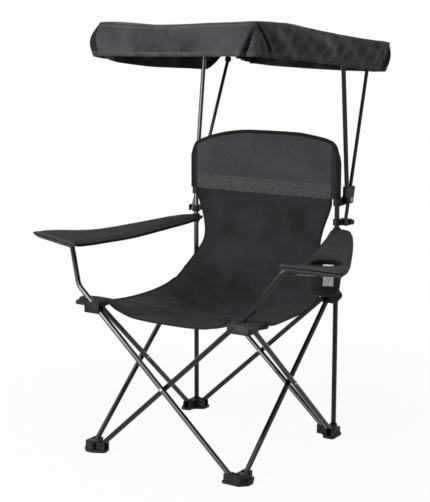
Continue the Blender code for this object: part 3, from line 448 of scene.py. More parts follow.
def stitches(name, points, normal, lift, pitch=0.0055, length=0.0034, width=0.0007, rise=0.0004,
             finish=thread_finish):
    """A row of stitches on a path over a sheet."""
    bm = bmesh.new()
    due = pitch
    for a, b, up in zip(points, points[1:], normal):
        span = (b - a).length
        if span < 1e-6:
            continue
        way = (b - a) / span
        side = up.cross(way).normalized()
        at = due
        while at < span:
            centre = a + way * at + up * lift
            ends = (centre - way * length / 2, centre + way * length / 2)
            low = [bm.verts.new(end + side * s * width / 2) for end in ends for s in (-1, 1)]
            high = [bm.verts.new(centre + way * w * length / 3 + up * rise) for w in (-1, 1)]
            for corners in ((low[0], low[1], high[0]), (low[3], low[2], high[1]),
                            (low[1], low[3], high[1], high[0]), (low[2], low[0], high[0], high[1]),
                            (low[0], low[2], low[3], low[1])):
                bm.faces.new(corners)
            at += pitch
        due = at - span
    return finish_mesh(name, bm, finish)


def grid_edge(points, normal, which):
    """The left, right or low edge of a grid, its inward directions and its normals."""
    rows, columns = len(points), len(points[0])
    if which == "low":
        index = [((0, i), (1, i)) for i in range(columns)]
    else:
        first, second = (0, 1) if which == "left" else (columns - 1, columns - 2)
        index = [((j, first), (j, second)) for j in range(rows)]
    edge = [points[j][i] for (j, i), inner in index]
    inward = [(points[b][a] - points[j][i]).normalized() for (j, i), (b, a) in index]
    return edge, inward, [normal[j][i] for (j, i), inner in index]


def carried(made, body):
    """Rides a piece on a body, with a mesh of its own."""
    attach(made, body)
    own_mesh(made)


# Mouldings: each gets the rounded edges of its mould, and the feet their low crown
crown_share = 0.75
weld = 1e-5
foot_edge_r, bracket_edge_r = 0.0030, 0.0025
foot_drop = 0.0075
mouldings = (("foot_front_left", "front_left_foot"), ("foot_front_right", "front_right_foot"),
             ("foot_rear_left", "rear_left_post"), ("foot_rear_right", "rear_right_post"),
             ("front_bracket_left", "front_left_bracket"), ("front_bracket_right", "front_right_bracket"),
             ("rear_slider_left", "rear_left_slider"), ("rear_slider_right", "rear_right_slider"))
for name, body in mouldings:
    is_foot = name.startswith("foot")
    low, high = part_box(name)
    bm = bmesh.new()
    bm.from_mesh(nodes[name].data)
    bmesh.ops.remove_doubles(bm, verts=bm.verts, dist=weld)
    for vert in bm.verts:
        if is_foot and vert.co.z > mix(low[2], high[2], crown_share):
            vert.co.z -= foot_drop
    bmesh.ops.dissolve_limit(bm, angle_limit=math.radians(2), verts=bm.verts, edges=bm.edges)
    mesh = bpy.data.meshes.new(name + "_moulding")
    bm.to_mesh(mesh)
    bm.free()
    made = new_object(name + "_moulding", mesh, plastic_finish)
    modified(made, "BEVEL", width=foot_edge_r if is_foot else bracket_edge_r, segments=3,
             limit_method="ANGLE", angle_limit=math.radians(50), harden_normals=False)
    smoothed(made.data, 45)
    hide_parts(name)
    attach(made, body)

# Sling: seat and back in one smooth surface
seat_front_y, panel_y = -0.2485, 0.2855
seat_corner_z, strip_top_z = 0.4712, 0.7619
seat_sag = 0.0772
strip_half_w = 0.2535
# Each row from the seat's front up: the middle's depth and height, the width, the edge's depth and height.
# All are shares, and a height below zero is a share of the sag
sling_rows = [
    (0.000, -0.521, 1.302, 0.000, 0.000), (0.058, -0.611, 1.286, 0.062, 0.000),
    (0.120, -0.702, 1.247, 0.120, -0.171), (0.223, -0.819, 1.191, 0.223, -0.310),
    (0.354, -0.922, 1.148, 0.354, -0.365), (0.503, -1.000, 1.128, 0.503, -0.365),
    (0.634, -1.000, 1.116, 0.625, -0.315), (0.728, -0.883, 1.101, 0.718, -0.212),
    (0.803, -0.598, 1.078, 0.793, -0.040), (0.853, -0.210, 1.042, 0.853, 0.074),
    (0.900, 0.082, 0.996, 0.900, 0.176), (0.934, 0.219, 0.949, 0.934, 0.272),
    (0.957, 0.374, 0.880, 0.957, 0.391), (0.971, 0.512, 0.862, 0.971, 0.512),
    (0.983, 0.667, 0.896, 0.983, 0.667), (0.994, 0.821, 0.960, 0.994, 0.821),
    (0.999, 0.925, 1.000, 0.999, 0.925), (1.000, 1.000, 1.000, 1.000, 1.000),
]
sling_values = [list(column) for column in zip(*sling_rows)]
# How much of the edge's place a column takes, over the seat's front and over the rest
column_places = (0, 0.22, 0.42, 0.58, 0.68, 0.84, 1)
front_lift = (0, 0.02, 0.15, 0.55, 1, 1, 1)
seat_lift = (0, 0.05, 0.18, 0.36, 0.50, 0.76, 1)
# How far each row stands towards the sitter's left
sling_drift = (0, 0, 0, 0, 0, 0, 0, 0, 0, 0.002, 0.003, 0.004, 0.005, 0.005, 0.004, 0.002, 0, 0)
sling_columns, sling_steps = 72, 7
sling_thick = 0.0028
# Soft folds over the cloth, as column share and row number, then width and height
sling_folds = fold_list([
    ((-0.62, 10.0), (-0.10, 8.2), 0.30, 0.0060), ((-0.80, 11.2), (-0.35, 8.8), 0.25, -0.0055),
    ((-0.55, 12.6), (-0.15, 11.0), 0.30, 0.0050), ((0.10, 15.5), (0.42, 13.4), 0.35, 0.0065),
    ((-0.20, 14.8), (0.05, 12.0), 0.40, 0.0050), ((0.45, 16.0), (0.52, 11.5), 0.22, 0.0050),
    ((0.60, 9.5), (0.15, 8.6), 0.30, 0.0050), ((-0.85, 3.2), (-0.30, 4.4), 0.35, 0.0050),
    ((0.88, 2.2), (0.35, 4.0), 0.35, 0.0050), ((0.80, 6.6), (0.30, 6.0), 0.40, 0.0045),
    ((-0.70, 6.8), (-0.20, 6.2), 0.35, -0.0040), ((0.00, 16.4), (-0.45, 15.2), 0.30, 0.0045),
    ((0.35, 11.5), (0.60, 9.8), 0.28, -0.0050), ((-0.92, 8.8), (-0.55, 7.8), 0.25, 0.0050),
    ((-0.45, 16.2), (-0.60, 13.0), 0.25, 0.0045), ((0.75, 15.8), (0.68, 13.2), 0.22, -0.0040),
    ((0.20, 11.0), (-0.20, 9.9), 0.35, 0.0045), ((0.30, 14.6), (0.12, 11.8), 0.24, -0.0045),
    ((-0.30, 7.6), (0.35, 7.4), 0.30, 0.0030), ((-0.15, 5.2), (0.30, 4.8), 0.40, 0.0025),
], scale_x=3, widen=2, gain=2.6)
# Seams: a column share each, over a span of rows, and one row across
seam_columns, seam_rows, seam_across = (-0.60, 0.60), (9.6, 17.0), 9.35
seam_tall, seam_wide_share = 0.0022, 0.012
seam_across_tall, seam_across_wide_rows, seam_across_away_rows = 0.0028, 0.10, 0.14
side_stitch_in, front_stitches_in = 0.0105, (0.014, 0.018)
front_tape_w, front_tape_thick = 0.011, 0.006


def sling_at(u, t):
    """The middle of the sling's cloth at a column share and a row number."""
    side = abs(u)
    blend = min(max((t - 1) / 3, 0), 1)
    lift = mix(table(column_places, front_lift, side), table(column_places, seat_lift, side), blend)
    mid_y, mid_z, width, edge_y, edge_z = [spline(values, t) for values in sling_values]

    def real(depth, height):
        span = seat_sag if height < 0 else strip_top_z - seat_corner_z
        return mix(seat_front_y, panel_y, depth), seat_corner_z + height * span

    y0, z0 = real(mid_y, mid_z)
    y1, z1 = real(edge_y, edge_z)
    return Vector((u * width * strip_half_w + spline(sling_drift, t), mix(y0, y1, lift), mix(z0, z1, lift)))


def sling_relief(u, t):
    """Folds and seams, as a height over the smooth cloth."""
    inside = step_between(1.0, 0.86, abs(u)) * step_between(0, 0.6, t) * step_between(17, 16, t)
    height = creased(Vector((u * 3, t)), sling_folds) * inside
    across = (t - seam_across) / seam_across_wide_rows
    height += seam_across_tall * math.exp(-across * across)
    for place in seam_columns:
        if seam_rows[0] <= t <= seam_rows[1]:
            away = (u - place) / seam_wide_share
            height += seam_tall * math.exp(-away * away)
    return height


split_row, last_row = 5.71, 17
for name, start, end, body in (("seat_front_cloth", 0, split_row, "right_tube_to_front_bracket"),
                               ("seat_and_back_cloth", split_row, last_row, "rear_right_post")):
    count = round((end - start) * sling_steps)
    rows = [start + (end - start) * k / count for k in range(count + 1)]
    shares = [-1 + 2 * i / sling_columns for i in range(sling_columns + 1)]
    flat = [[sling_at(u, t) for u in shares] for t in rows]
    flat_normal = normals_of(flat)
    points = [[flat[j][i] + flat_normal[j][i] * sling_relief(u, t) for i, u in enumerate(shares)]
              for j, t in enumerate(rows)]
    normal = normals_of(points)
    made = finish_mesh(name, shell(points, lambda j, i: -sling_thick / 2, lambda j, i: sling_thick / 2),
                       main_cloth)
    with_pieces = []
    for which in ("left", "right"):
        edge, inward, up = grid_edge(points, normal, which)
        with_pieces.append(binding(f"{name}_{which}_binding", edge, inward, up))
        line = [p + w * side_stitch_in for p, w in zip(edge, inward)]
        with_pieces.append(stitches(f"{name}_{which}_stitches", line, up, sling_thick / 2))
    if start == 0:
        edge, inward, up = grid_edge(points, normal, "low")
        with_pieces.append(binding("seat_front_binding", edge, inward, up, front_tape_w, front_tape_thick))
        for back in front_stitches_in:
            line = [p + w * back for p, w in zip(edge, inward)]
            with_pieces.append(stitches(f"seat_front_stitches_{int(back * 1000)}", line, up,
                                        sling_thick / 2))
    else:
        for number, away in enumerate((-seam_across_away_rows, seam_across_away_rows)):
            row = round((seam_across + away - start) / (end - start) * count)
            with_pieces.append(stitches(f"seat_seam_stitches_{number}", points[row], normal[row],
                                        sling_thick / 2))
        first = round((seam_rows[0] - start) / (end - start) * count)
        for place in seam_columns:
            word = "left" if place > 0 else "right"
            for number, away in enumerate((-1, 1)):
                column = round((place + 1) / 2 * sling_columns) + away
                with_pieces.append(stitches(f"back_seam_{word}_stitches_{number}",
                                            [row[column] for row in points[first:]],
                                            [row[column] for row in normal[first:]], sling_thick / 2))
        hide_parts("sling")
    for piece in [made] + with_pieces:
        carried(piece, body)

# Head panel: a sewn pocket over the uprights, with a band along its foot and tape round its edge
panel_low_z, band_top_z = 0.7600, 0.8085
panel_half_w, side_band = 0.2768, 0.0245
panel_front_y, panel_rear_y, panel_sleeve_y, panel_tape_y = 0.2838, 0.2885, 0.3072, 0.2852
panel_swell, swell_edge, swell_foot = 0.0032, 0.028, 0.020
sleeve_from_x, sleeve_to_x = 0.232, 0.262
sleeve_from_top, sleeve_to_top = 0.004, 0.030
panel_side_round, panel_fold_edge = 0.009, 0.03
panel_tape_w, panel_tape_thick, panel_tape_proud = 0.0115, 0.0078, 0.0016
arch = [
    (-1.000, 0.868), (-0.975, 0.893), (-0.935, 0.912), (-0.850, 0.9238), (-0.735, 0.9354),
    (-0.593, 0.9456), (-0.452, 0.9535), (-0.244, 0.9602), (0.000, 0.9618), (0.231, 0.9620),
    (0.495, 0.9609), (0.690, 0.9543), (0.819, 0.9484), (0.922, 0.9390), (0.972, 0.9250), (1.000, 0.9000),
]
arch_places = [row[0] for row in arch]
arch_values = [row[1] for row in arch]
panel_folds = fold_list([
    ((0.80, 0.93), (0.30, 0.86), 0.10, 0.0016), ((-0.75, 0.90), (-0.35, 0.84), 0.10, 0.0016),
    ((0.85, 0.82), (0.55, 0.90), 0.08, 0.0014), ((-0.10, 0.955), (0.05, 0.88), 0.12, 0.0012),
    ((-0.85, 0.82), (-0.55, 0.87), 0.09, 0.0014), ((0.45, 0.955), (0.35, 0.90), 0.08, 0.0014),
], scale_y=4)
band_rows, field_rows, side_columns, field_columns = 6, 22, 5, 52


def panel_at(u, z, face):
    """A point on the front (face 1) or rear (face -1) of the head panel."""
    top = table(arch_places, arch_values, u)
    x = u * panel_half_w
    sleeve = step_between(sleeve_from_x, sleeve_to_x, abs(x))
    from_side = (1 - abs(u)) * panel_half_w
    edge_in = min(from_side, top - z)
    swell = panel_swell * step_between(0, swell_edge, edge_in)
    swell *= step_between(panel_low_z, panel_low_z + swell_foot, z)
    front = panel_front_y - swell
    rear = mix(panel_rear_y + 0.5 * swell, panel_sleeve_y,
               sleeve * step_between(top - sleeve_from_top, top - sleeve_to_top, z))
    middle_y = (front + rear) / 2
    y = front if face > 0 else rear
    y = mix(y, middle_y + (y - middle_y) * 0.55, step_between(panel_side_round, 0, from_side))
    fold = creased(Vector((u, z * 4)), panel_folds) * step_between(0, panel_fold_edge, edge_in)
    return Vector((x, y - fold * (face > 0), z))


def panel_z(u, row):
    """The height of a row of the panel."""
    if row <= band_rows:
        return mix(panel_low_z, band_top_z, row / band_rows)
    return mix(band_top_z, table(arch_places, arch_values, u), (row - band_rows) / field_rows)


band_u = 1 - side_band / panel_half_w
panel_us = [mix(-1, -band_u, k / side_columns) for k in range(side_columns)]
panel_us += [mix(-band_u, band_u, k / field_columns) for k in range(field_columns + 1)]
panel_us += [mix(band_u, 1, k / side_columns) for k in range(1, side_columns + 1)]
panel_columns, panel_rows = len(panel_us) - 1, band_rows + field_rows
bm = bmesh.new()
front, rear = [[[bm.verts.new(panel_at(u, panel_z(u, j), face)) for u in panel_us]
                for j in range(panel_rows + 1)] for face in (1, -1)]
field_slot, side_slot, band_slot = 0, 1, 2
for j in range(panel_rows):
    for i in range(panel_columns):
        for corners in ((front[j][i], front[j][i + 1], front[j + 1][i + 1], front[j + 1][i]),
                        (rear[j][i + 1], rear[j][i], rear[j + 1][i], rear[j + 1][i + 1])):
            face = bm.faces.new(corners)
            if not side_columns <= i < panel_columns - side_columns:
                face.material_index = side_slot
            else:
                face.material_index = band_slot if j < band_rows else field_slot
rim = round_grid(panel_rows, panel_columns)
for (j, i), (b, a) in zip(rim, rim[1:] + rim[:1]):
    bm.faces.new((front[b][a], front[j][i], rear[j][i], rear[b][a])).material_index = side_slot
head_panel = finish_mesh("head_panel", bm, [panel_cloth, main_cloth, band_finish], 50)


def panel_path(inset, low_z):
    """A path up one side of the panel, over its arch and down the other side."""
    edge_u = 1 - inset / panel_half_w
    first_top, last_top = arch_values[0] - inset * 0.3, arch_values[-1] - inset * 0.3
    path = [(-edge_u, mix(low_z, first_top, k / 16)) for k in range(16)]
    shares = [-edge_u + 2 * edge_u * k / 90 for k in range(91)]
    path += [(u, table(arch_places, arch_values, u) - inset) for u in shares]
    path += [(edge_u, mix(last_top, low_z, k / 16)) for k in range(1, 17)]
    return path


tape_low, border_inset, border_low = 0.001, 0.0140, 0.010
outline = [Vector((u * panel_half_w, panel_tape_y, z)) for u, z in panel_path(0, panel_low_z + tape_low)]
inward = []
for k in range(len(outline)):
    way = outline[min(k + 1, len(outline) - 1)] - outline[max(k - 1, 0)]
    inward.append(Vector((way.z, 0, -way.x)).normalized())
ahead = Vector((0, -1, 0))
trim = [binding("head_panel_binding", outline, inward, [ahead] * len(outline), panel_tape_w,
                panel_tape_thick, panel_tape_proud)]
panel_lines = [("border_stitches", panel_path(border_inset, panel_low_z + border_low))]
foot_stitch_in, band_stitch_below, band_stitch_above = 0.004, 0.002, 0.0035
for number, z in enumerate((panel_low_z + foot_stitch_in, band_top_z - band_stitch_below,
                            band_top_z + band_stitch_above)):
    panel_lines.append((f"band_stitches_{number}", [(-0.95 + 1.9 * k / 50, z) for k in range(51)]))
for side, word in ((1, "left"), (-1, "right")):
    for number, away in enumerate((0.003, 0.010)):
        u = side * (band_u - away / panel_half_w)
        high = table(arch_places, arch_values, u) - border_inset
        panel_lines.append((f"{word}_stitches_{number}",
                            [(u, mix(panel_low_z + foot_stitch_in, high, k / 24)) for k in range(25)]))
panel_stitch_lift = 0.0002
for word, places in panel_lines:
    line = [panel_at(u, z, 1) for u, z in places]
    trim.append(stitches(f"head_panel_{word}", line, [ahead] * len(line), panel_stitch_lift))
for piece in [head_panel] + trim:
    carried(piece, "rear_right_post")

# Corner patches of the seat, folded over the two front brackets and hanging down all round them
# Each: side, word, body, middle y and half depth, then middle x and half width
corner_patches = ((1, "left", "front_left_bracket", -0.2380, 0.0330, 0.2810, 0.0540),
                  (-1, "right", "front_right_bracket", -0.2460, 0.0400, 0.2740, 0.0480))
# The patch's rings from its hem to its middle: share of its size, and height over its edge
patch_rings = ((1.010, -0.0120), (1.030, -0.0060), (1.0, 0), (0.93, 0.0018),
               (0.78, 0.0030), (0.55, 0.0040), (0.30, 0.0046), (0.08, 0.0048))
patch_lift, patch_flutter, patch_points = 0.0012, 0.0010, 32
# The rear corners' folded pockets outside the sliders, from their front end to their rear end
pocket_from, pocket_to = Vector((0.281, 0.232, 0.449)), Vector((0.287, 0.292, 0.458))
pocket_wide, pocket_tall, pocket_rings, pocket_points = 0.0120, 0.0135, 11, 20
for side, word, body, patch_y, patch_half_l, patch_x, patch_half_w in corner_patches:
    sections = []
    for k, (reach, rise) in enumerate(patch_rings):
        ring = []
        for turn in turns(patch_points):
            stretch = reach * squared(turn, 0.55)
            flutter = patch_flutter * math.sin(5 * turn + side) * max(0, 2 - k)
            ring.append(Vector((side * (patch_x + math.cos(turn) * (patch_half_w * stretch + flutter)),
                                patch_y + math.sin(turn) * (patch_half_l * stretch + flutter),
                                seat_corner_z + patch_lift + rise)))
        sections.append(ring)
    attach(finish_mesh(f"seat_corner_patch_{word}", sweep(sections), main_cloth, 50), body)
    sections = []
    for k in range(pocket_rings):
        share = k / (pocket_rings - 1)
        round_r = math.sqrt(max(0.02, 1 - (2 * share - 1) ** 4))
        centre = mix(pocket_from, pocket_to, share)
        ring = []
        for turn in turns(pocket_points):
            wide = pocket_wide * round_r * (1 + 0.08 * math.sin(3 * turn + 9 * share))
            tall = pocket_tall * round_r * (1 + 0.10 * math.sin(2 * turn - 7 * share))
            square = squared(turn, 0.35)
            ring.append(Vector((side * (centre.x + wide * square * math.cos(turn)), centre.y,
                                centre.z + tall * square * math.sin(turn))))
        sections.append(ring)
    carried(finish_mesh(f"seat_rear_patch_{word}", sweep(sections), main_cloth, 60), "rear_right_post")

# Armrests: padded, rolled round the arm tube in front and looped round the upright behind
# Each row: y, then the inner edge's x and z and the outer edge's x and z
left_rest_rows = [
    (-0.214, 0.394, 0.6330, 0.5600, 0.6370), (-0.180, 0.390, 0.6345, 0.5525, 0.6345),
    (-0.107, 0.379, 0.6345, 0.5240, 0.6335), (-0.040, 0.359, 0.6360, 0.4930, 0.6335),
    (0.038, 0.336, 0.6400, 0.4560, 0.6360), (0.108, 0.316, 0.6450, 0.4220, 0.6410),
    (0.180, 0.294, 0.6510, 0.3850, 0.6470), (0.244, 0.270, 0.6555, 0.3500, 0.6530),
    (0.294, 0.252, 0.6570, 0.3170, 0.6570), (0.314, 0.256, 0.6570, 0.2960, 0.6570),
]
right_rest_rows = [
    (-0.214, 0.396, 0.6290, 0.5270, 0.6480), (-0.180, 0.384, 0.6190, 0.5370, 0.6475),
    (-0.120, 0.374, 0.6160, 0.5240, 0.6435), (-0.060, 0.359, 0.6170, 0.4960, 0.6370),
    (0.000, 0.333, 0.6205, 0.4700, 0.6335), (0.060, 0.311, 0.6265, 0.4440, 0.6355),
    (0.120, 0.296, 0.6325, 0.4140, 0.6410), (0.180, 0.281, 0.6385, 0.3820, 0.6475),
    (0.240, 0.264, 0.6450, 0.3480, 0.6550), (0.290, 0.250, 0.6540, 0.3160, 0.6590),
    (0.314, 0.254, 0.6570, 0.2940, 0.6590),
]
# The rolls' middle lines, as x and z
left_roll = [(0.3740, 0.6362), (0.3800, 0.6378), (0.4500, 0.6388), (0.5450, 0.6386), (0.5660, 0.6384)]
right_roll = [(0.3735, 0.6210), (0.3830, 0.6280), (0.4400, 0.6365), (0.5100, 0.6480), (0.5360, 0.6515)]
arm_columns, arm_lengths = 30, 72
pad_half, pad_crown, pad_soft_edge, pad_crown_edge, pad_round = 0.0040, 0.0026, 0.02, 0.030, 0.007
rest_tape_w, rest_tape_thick, rest_tape_proud = 0.0115, 0.0094, 0.0020
rest_stitch_in, rest_stitch_lift, sleeve_stitch_lift = 0.0140, 0.0014, 0.0024
sleeve_rows = (4, 6)
fold_x_share = 0.15
rest_folds = fold_list([
    ((0.10, -0.20), (0.62, -0.12), 0.030, 0.0016), ((0.90, -0.19), (0.50, -0.13), 0.026, 0.0016),
    ((0.05, -0.10), (0.30, 0.02), 0.026, 0.0014), ((0.95, -0.02), (0.60, 0.10), 0.030, 0.0014),
    ((0.20, 0.10), (0.60, 0.20), 0.030, 0.0012), ((0.90, 0.16), (0.35, 0.26), 0.030, 0.0014),
], scale_x=fold_x_share)
cup_middle, cup_hole_r = Vector((0.4410, -0.0930, 0.6300)), 0.0500
cup_flat_from, cup_flat_to, cutter_h = 0.002, 0.055, 0.06
eyelet_r = 0.0092
arm_rear_z = 0.6560
loop_half_h, loop_wall, loop_gap, loop_round = 0.0130, 0.0044, 0.0006, 0.001
# The roll's ring has places close together round its sewn seam, which faces forwards and a little up
roll_r, roll_groove = 0.0102, 0.34
roll_seam = math.radians(193)
roll_turns = sorted(turns(20) + [roll_seam + 0.06 * k for k in range(-3, 4)])
# The places round the seam groove take the near-black tape: painted shade in the groove
seam_shade_turns = [n for n, turn in enumerate(roll_turns) if abs(turn + 0.03 - roll_seam) < 0.16]
# A place at each pad's front end and a way along the pad, which armrest returns
rest_front_x, rest_gather, rest_keep = 0.477, (-0.375, 0.927), 0.284


def pad_mesh(word, side, rows, hole):
    """The padded top with its holes, and the grid of its middle."""
    places, inner_xs, inner_zs, outer_xs, outer_zs = [list(column) for column in zip(*rows)]
    points, halves = [], []
    for j in range(arm_lengths + 1):
        y = mix(places[0], places[-1], 1 - (1 - j / arm_lengths) ** 1.15)
        inner_x, inner_z, outer_x, outer_z = [table(places, values, y) for values in
                                              (inner_xs, inner_zs, outer_xs, outer_zs)]
        row, half_row = [], []
        for i in range(arm_columns + 1):
            across = i / arm_columns
            x, z = mix(inner_x, outer_x, across), mix(inner_z, outer_z, across)
            edge = min(across, 1 - across) * (outer_x - inner_x)
            soft = step_between(0, pad_soft_edge, edge)
            z += soft * creased(Vector((across * fold_x_share, y)), rest_folds)
            if hole:
                away = (Vector((x, y)) - cup_middle.xy).length - cup_hole_r
                z = mix(cup_middle.z, z, step_between(cup_flat_from, cup_flat_to, away))
            crown = pad_crown * step_between(0, pad_crown_edge, edge)
            half_row.append((pad_half + crown) * math.sqrt(min(1, edge / pad_round + 0.15)))
            row.append(Vector((side * x, y, z)))
        points.append(row if side > 0 else row[::-1])
        halves.append(half_row if side > 0 else half_row[::-1])
    pad = finish_mesh(f"armrest_pad_{word}", shell(points, lambda j, i: -halves[j][i],
                                                   lambda j, i: halves[j][i]), arm_cloth, 55)
    cutter = bpy.data.objects.new("hole_cutter", bpy.data.meshes.new("hole_cutter"))
    bm = bmesh.new()
    spots = [(Vector((side * upright_x, upright_y, arm_rear_z)), eyelet_r)]
    if hole:
        spots.append((cup_middle, cup_hole_r))
    for spot, r in spots:
        bmesh.ops.create_cone(bm, cap_ends=True, segments=48, radius1=r, radius2=r, depth=cutter_h,
                              matrix=Matrix.Translation(spot + shift))
    bm.to_mesh(cutter.data)
    bm.free()
    bpy.context.scene.collection.objects.link(cutter)
    modified(pad, "BOOLEAN", operation="DIFFERENCE", solver="EXACT", object=cutter)
    bpy.data.objects.remove(cutter, do_unlink=True)
    return pad, points


def roll_sections(side, roll, tip_share):
    """Rings along the arm tube, gathered at both ends."""
    path = [Vector((side * x, arm_y, z)) for x, z in roll]
    count = 8 * (len(path) - 1)
    line = [spline(path, k / 8) for k in range(count + 1)]
    across = Vector((0, 1, 0))
    sections = []
    for k, point in enumerate(line):
        way = (line[min(k + 1, count)] - line[max(k - 1, 0)]).normalized()
        up = way.cross(across) * (-side)
        share = k / count
        swell = math.sqrt(math.sin(math.pi * min(max(mix(0.10, 0.90, share), 0), 1)))
        swell = mix(swell, 1, step_between(0.0, 0.12, share) * step_between(1.0, 0.88, share))
        swell *= mix(1, tip_share, step_between(0.70, 1.0, share))
        ring = []
        for turn in roll_turns:
            gather = 1 + 0.05 * math.sin(5 * turn + 31 * share) * math.sin(47 * share + 2 * turn)
            gather -= roll_groove * math.exp(-((turn - roll_seam) / 0.10) ** 2)
            r = roll_r * swell * gather
            ring.append(point + across * (r * math.cos(turn)) + up * (r * math.sin(turn)))
        sections.append(ring)
    return sections


def armrest(word, side, rows, roll, body, hole, tip_share):
    """The padded top with its bindings, its stitches, its roll and its loop."""
    pad, points = pad_mesh(word, side, rows, hole)
    normal = normals_of(points)
    made = [pad]
    for which in ("left", "right"):
        edge, inward, up = grid_edge(points, normal, which)
        made.append(binding(f"armrest_{word}_{which}_binding", edge, inward, up, rest_tape_w,
                            rest_tape_thick, rest_tape_proud))
        line = [p + w * rest_stitch_in for p, w in zip(edge, inward)]
        made.append(stitches(f"armrest_{word}_{which}_stitches", line, up, pad_half + rest_stitch_lift))
    for number, row in enumerate(sleeve_rows):
        made.append(stitches(f"armrest_{word}_sleeve_stitches_{number}", points[row], normal[row],
                             pad_half + sleeve_stitch_lift))
    # The roll stays on its tube as the frame folds
    # The seam stripe along the roll is painted shade in its groove
    bm = sweep(roll_sections(side, roll, tip_share), stripe=seam_shade_turns)
    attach(finish_mesh(f"armrest_roll_{word}", bm, [roll_cloth_painted_light, rim_tape_and_seam_shade], 60), body)
    outer_r, inner_r = tube_r + loop_wall, tube_r + loop_gap
    low, high = arm_rear_z - loop_half_h, arm_rear_z + loop_half_h
    profile = [(inner_r, low), (outer_r - loop_round, low), (outer_r, mix(low, high, 0.2)),
               (outer_r, mix(low, high, 0.8)), (outer_r - loop_round, high), (inner_r, high)]
    loop_mesh = lathe(Vector((side * upright_x, upright_y, 0)), profile, 32)
    made.append(finish_mesh(f"armrest_loop_{word}", loop_mesh, main_cloth, 50))
    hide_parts(f"armrest_{word}")
    anchor = tuple(Vector((side * rest_front_x, arm_y, 0)) + shift)
    axis = (side * rest_gather[0], rest_gather[1], 0)
    for piece in made:
        carried(piece, body)
    return anchor, axis


rest_anchor, rest_axis = armrest("left", 1, left_rest_rows, left_roll, "left_arm", True, 0.85)
armrest("right", -1, right_rest_rows, right_roll, "right_arm", False, 0.42)

# Cup holder: a bound rim, an open mesh wall and a cloth foot
cup_top_r, cup_foot_r, cup_depth, band_h = 0.0470, 0.0385, 0.0840, 0.0160
rim_out, rim_up, rim_half_w, rim_half_h = 0.0032, 0.0010, 0.0080, 0.0074
rim_profile = [(cup_hole_r + rim_out + rim_half_w * math.cos(turn), rim_up + rim_half_h * math.sin(turn))
               for turn in turns(12)]
# The rim binding is darker than the other tape: painted shade round the hole
cup_made = [finish_mesh("cup_rim_binding", lathe(cup_middle, rim_profile, 64), rim_tape_and_seam_shade, 60)]
net_top, net_foot_r, net_overlap, strand = 0.006, 0.0012, 0.002, 0.0010
levels, around_count = 28, 76
bm = bmesh.new()
rings = []
for j in range(levels + 1):
    share = j / levels
    r = mix(cup_top_r, cup_foot_r + net_foot_r, share ** 1.2)
    z = -net_top - (cup_depth - band_h - net_overlap) * share
    angles = [2 * math.pi * (k + 0.5 * (j % 2)) / around_count for k in range(around_count)]
    rings.append([bm.verts.new(cup_middle + Vector((r * math.cos(angle), r * math.sin(angle), z)))
                  for angle in angles])
for j, (a, b) in enumerate(zip(rings, rings[1:])):
    for k in range(around_count):
        after = (k + 1) % around_count
        if j % 2 == 0:
            corners = (a[k], b[k], a[after]), (a[after], b[k], b[after])
        else:
            corners = (a[k], b[k], b[after]), (a[k], b[after], a[after])
        for three in corners:
            bm.faces.new(three)
net = finish_mesh("cup_mesh_wall", bm, mesh_finish)
modified(net, "WIREFRAME", thickness=strand, use_even_offset=False, use_boundary=True)
cup_made.append(net)
# The foot's section, outwards from its radius and upwards from its underside
foot_profile = [(0.0026, band_h), (0.0026, 0.0120), (0.0008, 0.0060), (-0.0060, 0.0012), (-0.0140, 0),
                (0.0005 - cup_foot_r, 0), (0.0005 - cup_foot_r, 0.0025), (-0.0140, 0.0025),
                (-0.0060, 0.0045), (-0.0015, 0.0085), (0, band_h)]
foot_profile = [(cup_foot_r + out, rise - cup_depth) for out, rise in foot_profile]
cup_made.append(finish_mesh("cup_foot", lathe(cup_middle, foot_profile, 48), binding_finish, 50))
tape_profile = ((-0.0035, -0.0008), (0.0035, -0.0008), (0.0035, 0.0010), (-0.0035, 0.0010))
tape_top, tape_foot_r = 0.004, 0.001
for number, side_angle in enumerate((math.radians(200), math.radians(20))):
    way = Vector((math.cos(side_angle), math.sin(side_angle), 0))
    across = Vector((-way.y, way.x, 0))
    path = [cup_middle + way * mix(cup_top_r, cup_foot_r + tape_foot_r, (k / 8) ** 1.2)
            + Vector((0, 0, -tape_top - (cup_depth - band_h) * k / 8)) for k in range(9)]
    sections = [[p + across * a + way * b for a, b in tape_profile] for p in path]
    cup_made.append(finish_mesh(f"cup_side_tape_{number}", sweep(sections), binding_finish, 50))
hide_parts("cup_holder")
for piece in cup_made:
    carried(piece, "left_arm")

# Canopy: one cloth over the side rails, with a hanging valance pleated at its four corners
canopy_half_w, canopy_front, canopy_rear = 0.2768, -0.2038, 0.6320
canopy_corner, canopy_thick = 0.012, 0.0022
rail_x, roof_sag, rim_drop, rim_drop_w = 0.262, 0.007, 0.003, 0.005
# Heights of the roof's edges and of the hem, along each side
left_top = [(-0.204, 1.3121), (-0.149, 1.3117), (-0.068, 1.3083), (-0.012, 1.3050), (0.075, 1.2944),
            (0.165, 1.2832), (0.290, 1.2696), (0.492, 1.2510), (0.598, 1.2435), (0.632, 1.2385)]
right_top = [(-0.204, 1.3082), (-0.149, 1.3085), (-0.068, 1.3050), (-0.012, 1.3010), (0.075, 1.2915),
             (0.165, 1.2812), (0.290, 1.2680), (0.492, 1.2500), (0.598, 1.2430), (0.632, 1.2385)]
front_top = [(-0.277, 1.3082), (-0.232, 1.3056), (-0.176, 1.3022), (-0.086, 1.3005), (0.003, 1.3019),
             (0.089, 1.3057), (0.190, 1.3092), (0.277, 1.3121)]
rear_top = [(-0.277, 1.2385), (-0.140, 1.2362), (0.000, 1.2355), (0.140, 1.2362), (0.277, 1.2385)]
left_hem = [(-0.204, 1.2170), (-0.169, 1.2136), (-0.088, 1.2070), (0.025, 1.1994), (0.144, 1.1884),
            (0.269, 1.1768), (0.470, 1.1574), (0.599, 1.1463), (0.632, 1.1440)]
